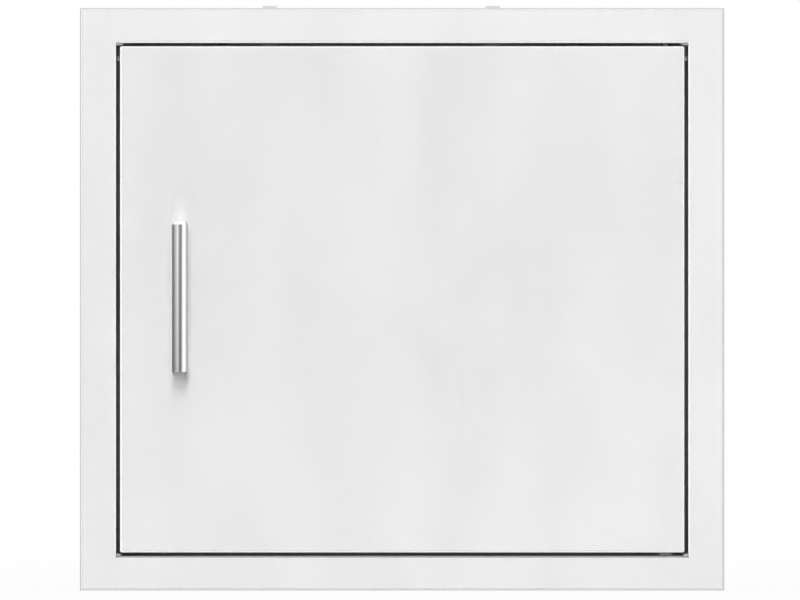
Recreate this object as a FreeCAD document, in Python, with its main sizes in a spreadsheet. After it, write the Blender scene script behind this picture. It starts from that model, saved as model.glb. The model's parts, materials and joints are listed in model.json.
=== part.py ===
import FreeCAD, Part
import math
import os
import Sketcher

# Flush-mount access door for an outdoor kitchen island: a folded sheet frame that is fastened into a
# rectangular cut-out, and a double-walled leaf that turns on two pins near its right edge.
# X runs to the right, Y into the island, Z up. The origin is the centre of the cut-out, in the plane
# of the island's face. All lengths are in millimetres.

sizes = {
    # face frame
    "overall_width": 533.4,
    "overall_height": 482.6,
    "side_trim": 30.0,
    "end_trim": 29.0,
    "frame_sheet": 1.2,
    "bend_inside": 0.6,
    "lip_depth": 6.0,
    "box_depth": 52.0,
    "rear_flange": 10.0,
    # tabs that are bent up from the top rail to hold the island's cladding
    "tab_width": 12.0,
    "tab_rise": 29.9,
    "cladding": 12.8,
    "left_tab": 110.0,
    "right_tab": 75.0,
    # fastening holes in the two stiles
    "mount_hole_radius": 2.75,
    "mount_spacing": 280.0,
    "mount_setback": 30.0,
    # leaf
    "side_gap": 2.8,
    "end_gap": 2.5,
    "door_depth": 20.0,
    "door_sheet": 1.2,
    "liner_sheet": 1.0,
    "liner_fit": 0.1,
    "liner_flange": 12.0,
    "notch_clearance": 0.3,
    # hat channel between skin and liner
    "stiffener_sheet": 1.0,
    "stiffener_crown": 30.0,
    "stiffener_brim": 12.0,
    "stiffener_air": 0.3,
    "stiffener_end_air": 0.5,
    # pull handle
    "bar_radius": 7.15,
    "bar_length": 127.0,
    "bar_wall": 1.5,
    "bar_standoff": 33.0,
    "bar_inset": 50.2,
    "handle_rise": 1.0,
    "cap_thickness": 3.6,
    "cap_plug": 6.0,
    "cap_chamfer": 1.3,
    "cap_chamfer_length": 2.6,
    "post_radius": 6.0,
    "post_spacing": 96.0,
    "post_chamfer": 0.5,
    "backing_thickness": 2.0,
    "backing_width": 25.0,
    "backing_overhang": 20.0,
    "washer_radius": 7.5,
    "washer_thickness": 1.2,
    "handle_screw_radius": 2.5,
    "handle_screw_head": 4.75,
    "handle_screw_head_height": 3.3,
    "handle_screw_bite": 10.0,
    "thread_runout": 2.0,
    "screw_clearance": 0.1,
    "access_hole_radius": 8.0,
    "plug_brim": 1.5,
    "plug_brim_thickness": 1.2,
    "plug_depth": 4.0,
    "plug_wall": 1.2,
    # pivots
    "pivot_inset": 16.0,
    "pivot_depth": 8.0,
    "pin_radius": 3.0,
    "pin_clearance": 0.05,
    "pin_chamfer": 0.6,
    "bush_wall": 1.5,
    "block_reach": 14.0,
    "block_depth": 15.0,
    "block_corner_air": 0.4,
    "block_screw_radius": 2.0,
    "block_screw_head": 3.8,
    "block_screw_length": 9.0,
    "block_screw_inset": 8.0,
    "doubler_thickness": 2.0,
    "doubler_length": 40.0,
    "doubler_width": 26.0,
    "doubler_air": 0.2,
    # lower pivot
    "lower_pin_rise": 12.0,
    "lower_bush_length": 14.0,
    "lower_block_height": 24.0,
    "thrust_radius": 7.0,
    "thrust_air": 0.1,
    "thrust_bore_air": 0.2,
    # sprung upper pin
    "upper_block_height": 32.0,
    "upper_bush_length": 9.2,
    "chamber_radius": 5.5,
    "chamber_length": 17.0,
    "pin_recess": 0.2,
    "pin_travel": 7.0,
    "pin_tail": 5.0,
    "clip_radius": 4.9,
    "clip_thickness": 0.8,
    "clip_groove": 0.5,
    "clip_play": 0.3,
    "spring_wire": 0.8,
    "spring_radius": 4.2,
    "spring_turns": 5.0,
    "spring_air": 0.15,
    "lever_radius": 2.0,
    "lever_chamfer": 0.5,
    "lever_drop": 7.0,
    "lever_nose": 1.0,
    "lever_reach": 11.0,
    "lever_air": 0.8,
    "knob_radius": 5.0,
    "knob_air": 3.0,
    "knob_length": 10.0,
    "knob_chamfer": 1.2,
    # header channel behind the leaf's top edge
    "header_air": 1.4,
    "header_leg": 18.0,
    "header_drop": 14.4,
    "header_hem": 3.7,
    "header_end_air": 0.3,
    "hem_rounding": 0.95,
    "bumper_radius": 3.8,
    "bumper_chamfer": 0.8,
    "bumper_stem": 2.45,
    "bumper_stem_air": 0.05,
    "bumper_barb": 3.2,
    "bumper_barb_length": 2.0,
    "bumper_tip": 1.5,
    "bumper_spacing": 300.0,
    "stop_air": 0.3,
    # magnetic catch
    "catch_width": 18.0,
    "catch_depth": 18.0,
    "catch_height": 28.0,
    "catch_floor": 4.0,
    "ear_length": 9.0,
    "ear_thickness": 3.0,
    "ear_setback": 3.0,
    "catch_fit": 0.1,
    "magnet_thickness": 5.0,
    "magnet_height": 22.0,
    "magnet_recess": 1.0,
    "pole_thickness": 1.6,
    "pole_reach": 2.0,
    "catch_inset": 11.0,
    "catch_screw_radius": 1.75,
    "catch_screw_head": 3.4,
    "catch_screw_head_height": 2.2,
    "catch_screw_bite": 7.0,
    "strike_width": 20.0,
    "strike_height": 32.0,
    "strike_thickness": 1.5,
    "strike_easing": 0.3,
    "strike_offset": 4.0,
    "strike_screw_radius": 1.75,
    "strike_screw_head": 3.2,
    "strike_screw_length": 8.0,
    "strike_screw_spacing": 22.0,
    "strike_screw_inset": 4.0,
    # shares of a screw head's radius: its edge chamfer and its cross recess
    "head_chamfer": 0.25,
    "recess_arm": 0.45,
    "recess_width": 0.16,
    "recess_depth": 0.3,
}

doc = FreeCAD.newDocument("access_door")
sheet = doc.addObject("Spreadsheet::Sheet", "Sizes")
for row, (alias, number) in enumerate(sizes.items(), start=1):
    sheet.set(f"A{row}", alias)
    sheet.set(f"B{row}", str(number))
    sheet.setAlias(f"B{row}", alias)
doc.recompute()


class Size:
    """A length, kept with the formula that ties it to the cells of the sheet."""

    def __init__(self, value, formula):
        self.value = value
        self.formula = formula

    def __add__(self, other):
        other = as_size(other)
        return Size(self.value + other.value, f"({self.formula} + {other.formula})")

    def __sub__(self, other):
        other = as_size(other)
        return Size(self.value - other.value, f"({self.formula} - {other.formula})")

    def __mul__(self, other):
        other = as_size(other)
        return Size(self.value * other.value, f"({self.formula} * {other.formula})")

    def __truediv__(self, other):
        other = as_size(other)
        return Size(self.value / other.value, f"({self.formula} / {other.formula})")

    def __neg__(self):
        return Size(-self.value, f"(-1 * {self.formula})")

    __radd__ = __add__
    __rmul__ = __mul__


def as_size(number):
    if isinstance(number, Size):
        return number
    return Size(float(number), f"({float(number)})")


def cell(alias):
    return Size(sheet.get(alias), f"{sheet.Name}.{alias}")


def hypotenuse(one, other):
    squares = one * one + other * other
    return Size(math.sqrt(squares.value), f"sqrt({squares.formula})")


# Places that several pieces share
half_width = cell("overall_width") / 2
half_height = cell("overall_height") / 2
open_x = half_width - cell("side_trim")
open_z = half_height - cell("end_trim")
frame_sheet = cell("frame_sheet")
face_y = -cell("lip_depth")
rear_y = face_y + cell("box_depth")
box_top = open_z + frame_sheet

door_x = open_x - cell("side_gap")
door_z = open_z - cell("end_gap")
door_back = face_y + cell("door_depth")
door_sheet = cell("door_sheet")
skin_inside_y = face_y + door_sheet
skin_inside_x = door_x - door_sheet
skin_inside_z = door_z - door_sheet
liner_inside_y = door_back - cell("liner_sheet")

pivot_x = door_x - cell("pivot_inset")
pivot_y = face_y + cell("pivot_depth")
pin_radius = cell("pin_radius")
pin_hole = pin_radius + cell("pin_clearance")
bush_radius = pin_hole + cell("bush_wall")
block_left = pivot_x - cell("block_reach")
block_back = skin_inside_y + cell("block_depth")
upper_block_bottom = skin_inside_z - cell("upper_block_height")
lower_block_top = cell("lower_block_height") - skin_inside_z
chamber_top = door_z - cell("upper_bush_length")
chamber_floor = chamber_top - cell("chamber_length")
clip_top = chamber_top - cell("clip_play")
clip_bottom = clip_top - cell("clip_thickness")
lever_z = upper_block_bottom - cell("lever_drop")

bar_x = cell("bar_inset") - door_x
bar_y = face_y - cell("bar_standoff")
handle_z = cell("handle_rise")
post_z = cell("post_spacing") / 2
backing_back = skin_inside_y + cell("backing_thickness")
washer_back = backing_back + cell("washer_thickness")

back_corner_swing = hypotenuse(cell("pivot_inset"), cell("door_depth") - cell("pivot_depth"))
header_y = pivot_y + back_corner_swing + cell("header_air") + frame_sheet
header_bottom = open_z - cell("header_drop")
hem_top = header_bottom + cell("header_hem")
bumper_z = (hem_top + door_z) / 2

strike_back = door_back + cell("strike_thickness")
pole_front = strike_back + cell("stop_air")
catch_front = pole_front + cell("pole_reach")
catch_back = catch_front + cell("catch_depth")
catch_x = cell("catch_inset") - open_x
strike_x = catch_x + cell("strike_offset")
strike_screw_x = strike_x + cell("strike_width") / 2 - cell("strike_screw_inset")
ear_screw_y = (catch_front + cell("ear_setback") + catch_back) / 2
ear_screw_z = (cell("catch_height") + cell("ear_length")) / 2

# How far a cutting outline runs past the material that it cuts
cut_margin = 1

pieces = []


def new_body(label, rise=None):
    body = doc.addObject("PartDesign::Body", label)
    body.Label = label
    if rise:
        bind(body, "Placement.Base.z", rise)
    pieces.append(body)
    return body


def origin_plane(body, role):
    return next(item for item in body.Origin.OriginFeatures if item.Role == role)


def bind(thing, name, amount):
    thing.setExpression(name, as_size(amount).formula)


def sketch_on(body, name, role, shift=(0, 0, 0)):
    sketch = body.newObject("Sketcher::SketchObject", name)
    sketch.AttachmentSupport = [(origin_plane(body, role), "")]
    sketch.MapMode = "FlatFace"
    for letter, amount in zip("xyz", shift):
        bind(sketch, f"AttachmentOffset.Base.{letter}", amount)
    return sketch


def pin_point(sketch, item, point, where):
    for kind, amount in zip(("DistanceX", "DistanceY"), where):
        amount = as_size(amount)
        rule = Sketcher.Constraint(kind, -1, 1, item, point, amount.value)
        number = sketch.addConstraint(rule)
        sketch.setExpression(f"Constraints[{number}]", amount.formula)


def draw_outline(sketch, corners):
    first = sketch.GeometryCount
    spots = [FreeCAD.Vector(as_size(u).value, as_size(v).value, 0) for u, v in corners]
    for here, there in zip(spots, spots[1:] + spots[:1]):
        sketch.addGeometry(Part.LineSegment(here, there), False)
    for step, corner in enumerate(corners):
        line = first + step
        following = first + (step + 1) % len(corners)
        sketch.addConstraint(Sketcher.Constraint("Coincident", line, 2, following, 1))
        pin_point(sketch, line, 1, corner)


def draw_circle(sketch, centre, radius):
    radius = as_size(radius)
    spot = FreeCAD.Vector(as_size(centre[0]).value, as_size(centre[1]).value, 0)
    upward = FreeCAD.Vector(0, 0, 1)
    item = sketch.addGeometry(Part.Circle(spot, upward, radius.value), False)
    pin_point(sketch, item, 3, centre)
    number = sketch.addConstraint(Sketcher.Constraint("Radius", item, radius.value))
    sketch.setExpression(f"Constraints[{number}]", radius.formula)


def rectangle(low_u, high_u, low_v, high_v):
    return [(low_u, low_v), (high_u, low_v), (high_u, high_v), (low_u, high_v)]


def pad(body, sketch, length, both_ways=False, backwards=False):
    feature = body.newObject("PartDesign::Pad", f"{sketch.Name}_pad")
    feature.Profile = sketch
    bind(feature, "Length", length)
    feature.SideType = "Symmetric" if both_ways else "One side"
    feature.Reversed = backwards
    return feature


def cut_checked(body, feature):
    """Recomputes a cutting feature and stops if it took nothing away."""
    before = body.Tip.BaseFeature.Shape.Volume
    doc.recompute()
    if not feature.Shape.Volume < before:
        raise ValueError(f"{feature.Name} cuts nothing")
    return feature


def pocket(body, sketch, length=None, backwards=False):
    """Cuts the sketch's outlines away, all the way through when no length is given."""
    doc.recompute()
    feature = body.newObject("PartDesign::Pocket", f"{sketch.Name}_pocket")
    feature.Profile = sketch
    if length is None:
        feature.Type = "ThroughAll"
        feature.SideType = "Symmetric"
    else:
        bind(feature, "Length", length)
    feature.Reversed = backwards
    return cut_checked(body, feature)


def box(body, name, x_span, y_span, z_span):
    sketch = sketch_on(body, name, "XY_Plane", (0, 0, z_span[0]))
    draw_outline(sketch, rectangle(*x_span, *y_span))
    return pad(body, sketch, as_size(z_span[1]) - z_span[0])


def turning_sketch(body, name, axis, centre, profile):
    """Draws a profile of (radius, distance along the axis) corners beside its axis.

    The centre holds the axis's two fixed coordinates, in X, Y, Z order."""
    one, other = centre
    if axis == "Z":
        sketch = sketch_on(body, name, "XZ_Plane", (one, 0, -as_size(other)))
    elif axis == "Y":
        sketch = sketch_on(body, name, "XY_Plane", (one, 0, other))
    else:
        sketch = sketch_on(body, name, "XY_Plane", (0, one, other))
        profile = [(along, radius) for radius, along in profile]
    draw_outline(sketch, profile)
    return sketch, "H_Axis" if axis == "X" else "V_Axis"


def turned(body, name, axis, centre, profile):
    sketch, line = turning_sketch(body, name, axis, centre, profile)
    feature = body.newObject("PartDesign::Revolution", f"{name}_turned")
    feature.Profile = sketch
    feature.ReferenceAxis = (sketch, [line])
    feature.Angle = 360
    return feature


def bored(body, name, axis, centre, profile):
    sketch, line = turning_sketch(body, name, axis, centre, profile)
    doc.recompute()
    feature = body.newObject("PartDesign::Groove", f"{name}_bore")
    feature.Profile = sketch
    feature.ReferenceAxis = (sketch, [line])
    feature.Angle = 360
    return cut_checked(body, feature)


def cylinder_profile(radius, low, high):
    return [(0, low), (radius, low), (radius, high), (0, high)]


def ring_profile(inner, outer, low, high):
    return [(inner, low), (outer, low), (outer, high), (inner, high)]


def mirrored(body, name, features, role):
    feature = body.newObject("PartDesign::Mirrored", name)
    feature.Originals = features
    feature.MirrorPlane = (origin_plane(body, role), [""])
    body.Tip = feature
    return feature


def edges_where(feature, places):
    """Names the edges whose every point has the coordinates of one of the places, such as {"x": 3}."""
    doc.recompute()
    tolerance = 1e-4
    names = []
    for number, edge in enumerate(feature.Shape.Edges, start=1):
        for place in places:
            wanted = {letter: as_size(amount).value for letter, amount in place.items()}
            spots = [vertex.Point for vertex in edge.Vertexes]
            if all(
                abs(getattr(spot, letter) - amount) < tolerance
                for spot in spots
                for letter, amount in wanted.items()
            ):
                names.append(f"Edge{number}")
    return names


def rounded(body, name, feature, radius, places):
    result = body.newObject("PartDesign::Fillet", name)
    result.Base = (feature, edges_where(feature, places))
    bind(result, "Radius", radius)
    return result


def hollowed(body, name, feature, wall, open_side):
    """Turns a block into a pan: open_side is the Y coordinate of the face that is left open."""
    doc.recompute()
    faces = [
        f"Face{number}"
        for number, face in enumerate(feature.Shape.Faces, start=1)
        if abs(face.BoundBox.YMin - open_side.value) < 1e-4
        and abs(face.BoundBox.YMax - open_side.value) < 1e-4
    ]
    result = body.newObject("PartDesign::Thickness", name)
    result.Base = (feature, faces)
    bind(result, "Value", wall)
    result.Reversed = True
    result.Join = "Intersection"
    return result


def cross_recess(body, name, axis, centre, face, head_radius):
    """Cuts a cross into a screw head whose face looks along the positive axis."""
    arm = cell("recess_arm") * head_radius
    half = cell("recess_width") * head_radius
    if axis == "Y":
        sketch = sketch_on(body, name, "XZ_Plane", (*centre, -face))
    else:
        sketch = sketch_on(body, name, "YZ_Plane", (*centre, face))
    cross = [
        (half, half), (half, arm), (-half, arm), (-half, half), (-arm, half), (-arm, -half),
        (-half, -half), (-half, -arm), (half, -arm), (half, -half), (arm, -half), (arm, half),
    ]
    draw_outline(sketch, cross)
    return pocket(body, sketch, cell("recess_depth") * head_radius, backwards=axis == "Y")


def frame_section(outer, opening, direction):
    """Section of a frame member: lip, face flange, box wall and rear flange.

    The first coordinate is Y and the second runs outwards from the opening."""
    step = direction * frame_sheet
    inward = direction * cell("rear_flange")
    return [
        (0, outer),
        (face_y, outer),
        (face_y, opening),
        (rear_y - frame_sheet, opening),
        (rear_y - frame_sheet, opening - inward),
        (rear_y, opening - inward),
        (rear_y, opening + step),
        (face_y + frame_sheet, opening + step),
        (face_y + frame_sheet, outer - step),
        (0, outer - step),
    ]


def bent(body, feature, letter, outer, opening, direction):
    """Rounds the three bends of a frame member, outside and inside."""
    step = direction * frame_sheet
    outside = [(face_y, outer), (face_y, opening), (rear_y, opening + step)]
    inside = [
        (face_y + frame_sheet, outer - step),
        (face_y + frame_sheet, opening + step),
        (rear_y - frame_sheet, opening),
    ]
    large = cell("bend_inside") + frame_sheet
    places = [{"y": y, letter: across} for y, across in outside]
    first = rounded(body, "outer_bends", feature, large, places)
    places = [{"y": y, letter: across} for y, across in inside]
    return rounded(body, "inner_bends", first, cell("bend_inside"), places)


def mitre(body, is_rail, up):
    """Cuts both ends of a rail, or one end of a stile, along the line to the frame's outer corner."""
    sketch = sketch_on(body, "mitre", "XZ_Plane")
    if is_rail:
        ends = [(-1, up), (1, up)]
    else:
        ends = [(up, -1), (up, 1)]
    for right, top in ends:
        inner_x = right * (open_x - cell("rear_flange"))
        inner_z = top * (open_z - cell("rear_flange"))
        corners = [
            (right * half_width, top * half_height),
            (right * open_x, top * open_z),
            (inner_x, inner_z),
        ]
        if is_rail:
            beyond = right * (half_width + cut_margin)
            low = inner_z - top * cut_margin
            corners += [(inner_x, low), (beyond, low), (beyond, top * half_height)]
        else:
            beyond = top * (half_height + cut_margin)
            low = inner_x - right * cut_margin
            corners += [(low, inner_z), (low, beyond), (right * half_width, beyond)]
        draw_outline(sketch, corners)
    return pocket(body, sketch)


def make_rail(label, up):
    body = new_body(label)
    sketch = sketch_on(body, "section", "YZ_Plane")
    draw_outline(sketch, frame_section(up * half_height, up * open_z, up))
    bar = pad(body, sketch, cell("overall_width"), both_ways=True)
    bent(body, bar, "z", up * half_height, up * open_z, up)
    mitre(body, True, up)
    return body


def make_stile(label, right):
    body = new_body(label)
    sketch = sketch_on(body, "section", "XY_Plane")
    corners = frame_section(right * half_width, right * open_x, right)
    draw_outline(sketch, [(across, y) for y, across in corners])
    bar = pad(body, sketch, cell("overall_height"), both_ways=True)
    bent(body, bar, "x", right * half_width, right * open_x, right)
    mitre(body, False, right)
    holes = sketch_on(body, "mount_holes", "YZ_Plane", (0, 0, right * open_x))
    for up in (-1, 1):
        draw_circle(holes, (cell("mount_setback"), up * cell("mount_spacing") / 2),
                    cell("mount_hole_radius"))
    pocket(body, holes)
    return body


def pivot_hole(body, name, radius):
    sketch = sketch_on(body, name, "XY_Plane")
    draw_circle(sketch, (pivot_x, pivot_y), radius)
    return sketch


def make_top_rail():
    body = make_rail("frame_top_rail", 1)
    tab_front = cell("cladding")
    tab_back = tab_front + frame_sheet
    spans = []
    for centre in (-cell("left_tab"), cell("right_tab")):
        spans.append((centre - cell("tab_width") / 2, centre + cell("tab_width") / 2))
    slots = sketch_on(body, "tab_slots", "XY_Plane", (0, 0, open_z - frame_sheet))
    for low, high in spans:
        draw_outline(slots, rectangle(low, high, tab_back, tab_back + cell("tab_rise")))
    pocket(body, slots, 3 * frame_sheet, backwards=True)
    tabs = sketch_on(body, "tabs", "XY_Plane", (0, 0, open_z))
    for low, high in spans:
        draw_outline(tabs, rectangle(low, high, tab_front, tab_back))
    pad(body, tabs, frame_sheet + cell("tab_rise"))
    pocket(body, pivot_hole(body, "upper_pin_hole", pin_hole))


def make_bottom_rail():
    body = make_rail("frame_bottom_rail", -1)
    pocket(body, pivot_hole(body, "lower_pin_hole", pin_radius))


def make_header_channel():
    body = new_body("header_channel")
    lip_back = header_y + frame_sheet
    leg_back = header_y + cell("header_leg")
    sketch = sketch_on(body, "section", "YZ_Plane")
    draw_outline(sketch, [
        (header_y, open_z),
        (leg_back, open_z),
        (leg_back, open_z - frame_sheet),
        (lip_back, open_z - frame_sheet),
        (lip_back, header_bottom),
        (header_y - frame_sheet, header_bottom),
        (header_y - frame_sheet, hem_top),
        (header_y, hem_top),
    ])
    channel = pad(body, sketch, (open_x - cell("header_end_air")) * 2, both_ways=True)
    rounded(body, "rolled_hem", channel, cell("hem_rounding"), [
        {"y": lip_back, "z": header_bottom},
        {"y": header_y - frame_sheet, "z": header_bottom},
    ])
    holes = sketch_on(body, "bumper_holes", "XZ_Plane", (0, 0, -header_y))
    for right in (-1, 1):
        draw_circle(holes, (right * cell("bumper_spacing") / 2, bumper_z),
                    cell("bumper_stem") + cell("bumper_stem_air"))
    pocket(body, holes)


def make_door_bumpers():
    body = new_body("door_bumpers")
    front = door_back + cell("stop_air")
    lip_back = header_y + frame_sheet
    tail = lip_back + cell("bumper_barb_length")
    radius = cell("bumper_radius")
    chamfer = cell("bumper_chamfer")
    stem = cell("bumper_stem")
    profile = [
        (0, front), (radius - chamfer, front), (radius, front + chamfer), (radius, header_y),
        (stem, header_y), (stem, lip_back), (cell("bumper_barb"), lip_back), (cell("bumper_tip"), tail),
        (0, tail),
    ]
    bumper = turned(body, "bumper", "Y", (cell("bumper_spacing") / 2, bumper_z), profile)
    mirrored(body, "other_bumper", [bumper], "YZ_Plane")


def make_doubler(label, low, hole_radius):
    """Plate on the outside of the box wall that thickens it round a pivot pin."""
    body = new_body(label)
    front = face_y + frame_sheet + cell("bend_inside") + cell("doubler_air")
    box(body, "plate", (open_x - cell("doubler_length"), open_x), (front, front + cell("doubler_width")),
        (low, low + cell("doubler_thickness")))
    pocket(body, pivot_hole(body, "pin_hole", hole_radius))


def make_lower_pivot_pin():
    body = new_body("lower_pivot_pin")
    bottom = -(box_top + cell("doubler_thickness"))
    top = cell("lower_pin_rise") - open_z
    chamfer = cell("pin_chamfer")
    turned(body, "pin", "Z", (pivot_x, pivot_y), [
        (0, bottom), (pin_radius, bottom), (pin_radius, top - chamfer), (pin_radius - chamfer, top), (0, top),
    ])


def make_thrust_washer():
    body = new_body("pivot_thrust_washer")
    low = -open_z
    high = -(door_z + cell("thrust_air"))
    turned(body, "washer", "Z", (pivot_x, pivot_y),
           ring_profile(pin_radius + cell("thrust_bore_air"), cell("thrust_radius"), low, high))


def make_catch_housing():
    body = new_body("catch_housing")
    half_tall = cell("catch_height") / 2
    inner_x = cell("catch_width") - open_x
    box(body, "body_block", (-open_x, inner_x), (catch_front, catch_back), (-half_tall, half_tall))
    ear_top = half_tall + cell("ear_length")
    ear_front = catch_front + cell("ear_setback")
    box(body, "ears", (-open_x, cell("ear_thickness") - open_x), (ear_front, catch_back),
        (-ear_top, ear_top))
    seat = sketch_on(body, "magnet_seat", "XZ_Plane", (0, 0, -catch_front))
    half_seat = cell("magnet_thickness") / 2 + cell("pole_thickness") + cell("catch_fit")
    seat_tall = cell("magnet_height") / 2 + cell("catch_fit")
    draw_outline(seat, rectangle(catch_x - half_seat, catch_x + half_seat, -seat_tall, seat_tall))
    pocket(body, seat, cell("catch_depth") - cell("catch_floor"))
    holes = sketch_on(body, "ear_holes", "YZ_Plane")
    for up in (-1, 1):
        draw_circle(holes, (ear_screw_y, up * ear_screw_z),
                    cell("catch_screw_radius") + cell("screw_clearance"))
    pocket(body, holes)


def make_catch_magnet():
    body = new_body("catch_magnet")
    half_thick = cell("magnet_thickness") / 2
    half_tall = cell("magnet_height") / 2
    seat_floor = catch_back - cell("catch_floor")
    box(body, "magnet", (catch_x - half_thick, catch_x + half_thick),
        (catch_front + cell("magnet_recess"), seat_floor), (-half_tall, half_tall))


def make_pole_plates():
    body = new_body("catch_pole_plates")
    half_thick = cell("magnet_thickness") / 2
    half_tall = cell("magnet_height") / 2
    seat_floor = catch_back - cell("catch_floor")
    sketch = sketch_on(body, "poles", "XY_Plane", (0, 0, -half_tall))
    for side in (-1, 1):
        near = catch_x + side * half_thick
        far = near + side * cell("pole_thickness")
        draw_outline(sketch, rectangle(near, far, pole_front, seat_floor))
    pad(body, sketch, cell("magnet_height"))


def pan_head(shank, head, under_head, face):
    """The head's part of a screw's profile, with a chamfered rim."""
    chamfer = cell("head_chamfer") * head
    return [
        (shank, under_head), (head, under_head), (head, face - chamfer), (head - chamfer, face), (0, face),
    ]


def make_catch_screws():
    body = new_body("catch_screws")
    under_head = cell("ear_thickness") - open_x
    face = under_head + cell("catch_screw_head_height")
    tip = under_head - cell("ear_thickness") - cell("catch_screw_bite")
    shank = cell("catch_screw_radius")
    head = cell("catch_screw_head")
    centre = (ear_screw_y, ear_screw_z)
    pointed_shank = [(0, tip), (shank, tip + shank)]
    screw = turned(body, "screw", "X", centre, pointed_shank + pan_head(shank, head, under_head, face))
    drive = cross_recess(body, "drive", "X", centre, face, head)
    mirrored(body, "other_screw", [screw, drive], "XY_Plane")


def make_catch_holes_in_stile():
    """Pilot holes for the catch's screws in the left stile's box wall."""
    body = next(piece for piece in pieces if piece.Label == "frame_left_stile")
    holes = sketch_on(body, "catch_holes", "YZ_Plane")
    for up in (-1, 1):
        draw_circle(holes, (ear_screw_y, up * ear_screw_z), cell("catch_screw_radius"))
    pocket(body, holes)


def make_door_skin():
    body = new_body("door_skin")
    block = box(body, "pan", (-door_x, door_x), (face_y, door_back), (-door_z, door_z))
    corners = [{"x": right * door_x, "z": up * door_z} for right in (-1, 1) for up in (-1, 1)]
    rims = [{"y": face_y, "x": right * door_x} for right in (-1, 1)]
    rims += [{"y": face_y, "z": up * door_z} for up in (-1, 1)]
    bend = cell("bend_inside") + door_sheet
    shaped = rounded(body, "bends", block, bend, corners + rims)
    hollowed(body, "sheet", shaped, door_sheet, door_back)
    screws = sketch_on(body, "handle_holes", "XZ_Plane", (0, 0, -face_y))
    for up in (-1, 1):
        hole = (bar_x, handle_z + up * post_z)
        draw_circle(screws, hole, cell("handle_screw_radius") + cell("screw_clearance"))
    pocket(body, screws, 2 * door_sheet)
    pocket(body, pivot_hole(body, "bush_holes", bush_radius))
    upper, lower = block_screw_heights()
    block_screw_holes(body, upper + lower)


def block_screw_heights():
    inset = cell("block_screw_inset")
    upper = [skin_inside_z - inset, upper_block_bottom + inset]
    lower = [inset - skin_inside_z, lower_block_top - inset]
    return upper, lower


def countersink(head, shank, face, tip):
    """Profile of a 90 degree countersunk screw whose head is flush with the face."""
    return [(0, tip), (shank, tip), (shank, face - (head - shank)), (head, face), (0, face)]


def block_screw_holes(body, heights):
    """Countersunk holes for the screws that hold the hinge blocks, from the leaf's right edge."""
    shank = cell("block_screw_radius")
    head = cell("block_screw_head")
    tip = door_x - cell("block_screw_length")
    middle_y = (skin_inside_y + block_back) / 2
    for number, height in enumerate(heights, start=1):
        bored(body, f"screw_hole_{number}", "X", (middle_y, height), countersink(head, shank, door_x, tip))


def make_block_screws():
    body = new_body("hinge_block_screws")
    upper, lower = block_screw_heights()
    shank = cell("block_screw_radius")
    head = cell("block_screw_head")
    tip = door_x - cell("block_screw_length")
    middle_y = (skin_inside_y + block_back) / 2
    for number, height in enumerate(upper + lower, start=1):
        centre = (middle_y, height)
        turned(body, f"screw_{number}", "X", centre, countersink(head, shank, door_x, tip))
    for number, height in enumerate(upper + lower, start=1):
        cross_recess(body, f"drive_{number}", "X", (middle_y, height), door_x, head)


def block_body(label, low, high, wall_z):
    """Block in a corner of the leaf, eased where the skin's bends pass."""
    body = new_body(label)
    block = box(body, "block", (block_left, skin_inside_x), (skin_inside_y, block_back), (low, high))
    rounded(body, "eased_edges", block, cell("bend_inside") + cell("block_corner_air"), [
        {"x": skin_inside_x, "y": skin_inside_y},
        {"x": skin_inside_x, "z": wall_z},
        {"y": skin_inside_y, "z": wall_z},
    ])
    return body


def make_upper_hinge_block():
    body = block_body("upper_hinge_block", upper_block_bottom, skin_inside_z, skin_inside_z)
    below = upper_block_bottom - cut_margin
    above = skin_inside_z + cut_margin
    bored(body, "bore", "Z", (pivot_x, pivot_y), [
        (0, below), (pin_hole, below), (pin_hole, chamber_floor), (cell("chamber_radius"), chamber_floor),
        (cell("chamber_radius"), chamber_top), (bush_radius, chamber_top), (bush_radius, above), (0, above),
    ])
    block_screw_holes(body, block_screw_heights()[0])


def make_lower_hinge_block():
    body = block_body("lower_hinge_block", -skin_inside_z, lower_block_top, -skin_inside_z)
    bored(body, "bore", "Z", (pivot_x, pivot_y),
          cylinder_profile(bush_radius, -skin_inside_z - cut_margin, cell("lower_bush_length") - door_z))
    block_screw_holes(body, block_screw_heights()[1])


def make_bush(label, low, high):
    body = new_body(label)
    turned(body, "bush", "Z", (pivot_x, pivot_y), ring_profile(pin_hole, bush_radius, low, high))


def make_door_liner():
    body = new_body("door_liner")
    fit = cell("liner_fit")
    wide = skin_inside_x - fit
    tall = skin_inside_z - fit
    front = door_back - cell("liner_flange")
    block = box(body, "tray", (-wide, wide), (front, door_back), (-tall, tall))
    corners = [{"x": right * wide, "z": up * tall} for right in (-1, 1) for up in (-1, 1)]
    shaped = rounded(body, "bends", block, cell("bend_inside") + cell("liner_sheet"), corners)
    hollowed(body, "sheet", shaped, cell("liner_sheet"), front)
    holes = sketch_on(body, "holes", "XZ_Plane", (0, 0, -door_back))
    for up in (-1, 1):
        draw_circle(holes, (bar_x, handle_z + up * post_z), cell("access_hole_radius"))
        draw_circle(holes, (strike_screw_x, up * cell("strike_screw_spacing") / 2),
                    cell("strike_screw_radius"))
    half_slot = cell("lever_radius") + cell("lever_air")
    draw_outline(holes, rectangle(pivot_x - half_slot, pivot_x + half_slot,
                                  lever_z - cell("pin_travel") - half_slot, lever_z + half_slot))
    pocket(body, holes, 2 * cell("liner_sheet"), backwards=True)
    air = cell("notch_clearance")
    notches = sketch_on(body, "block_notches", "XZ_Plane", (0, 0, -front))
    draw_outline(notches, rectangle(block_left - air, door_x, upper_block_bottom - air, door_z))
    draw_outline(notches, rectangle(block_left - air, door_x, -door_z, lower_block_top + air))
    pocket(body, notches, block_back + air - front)


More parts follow.
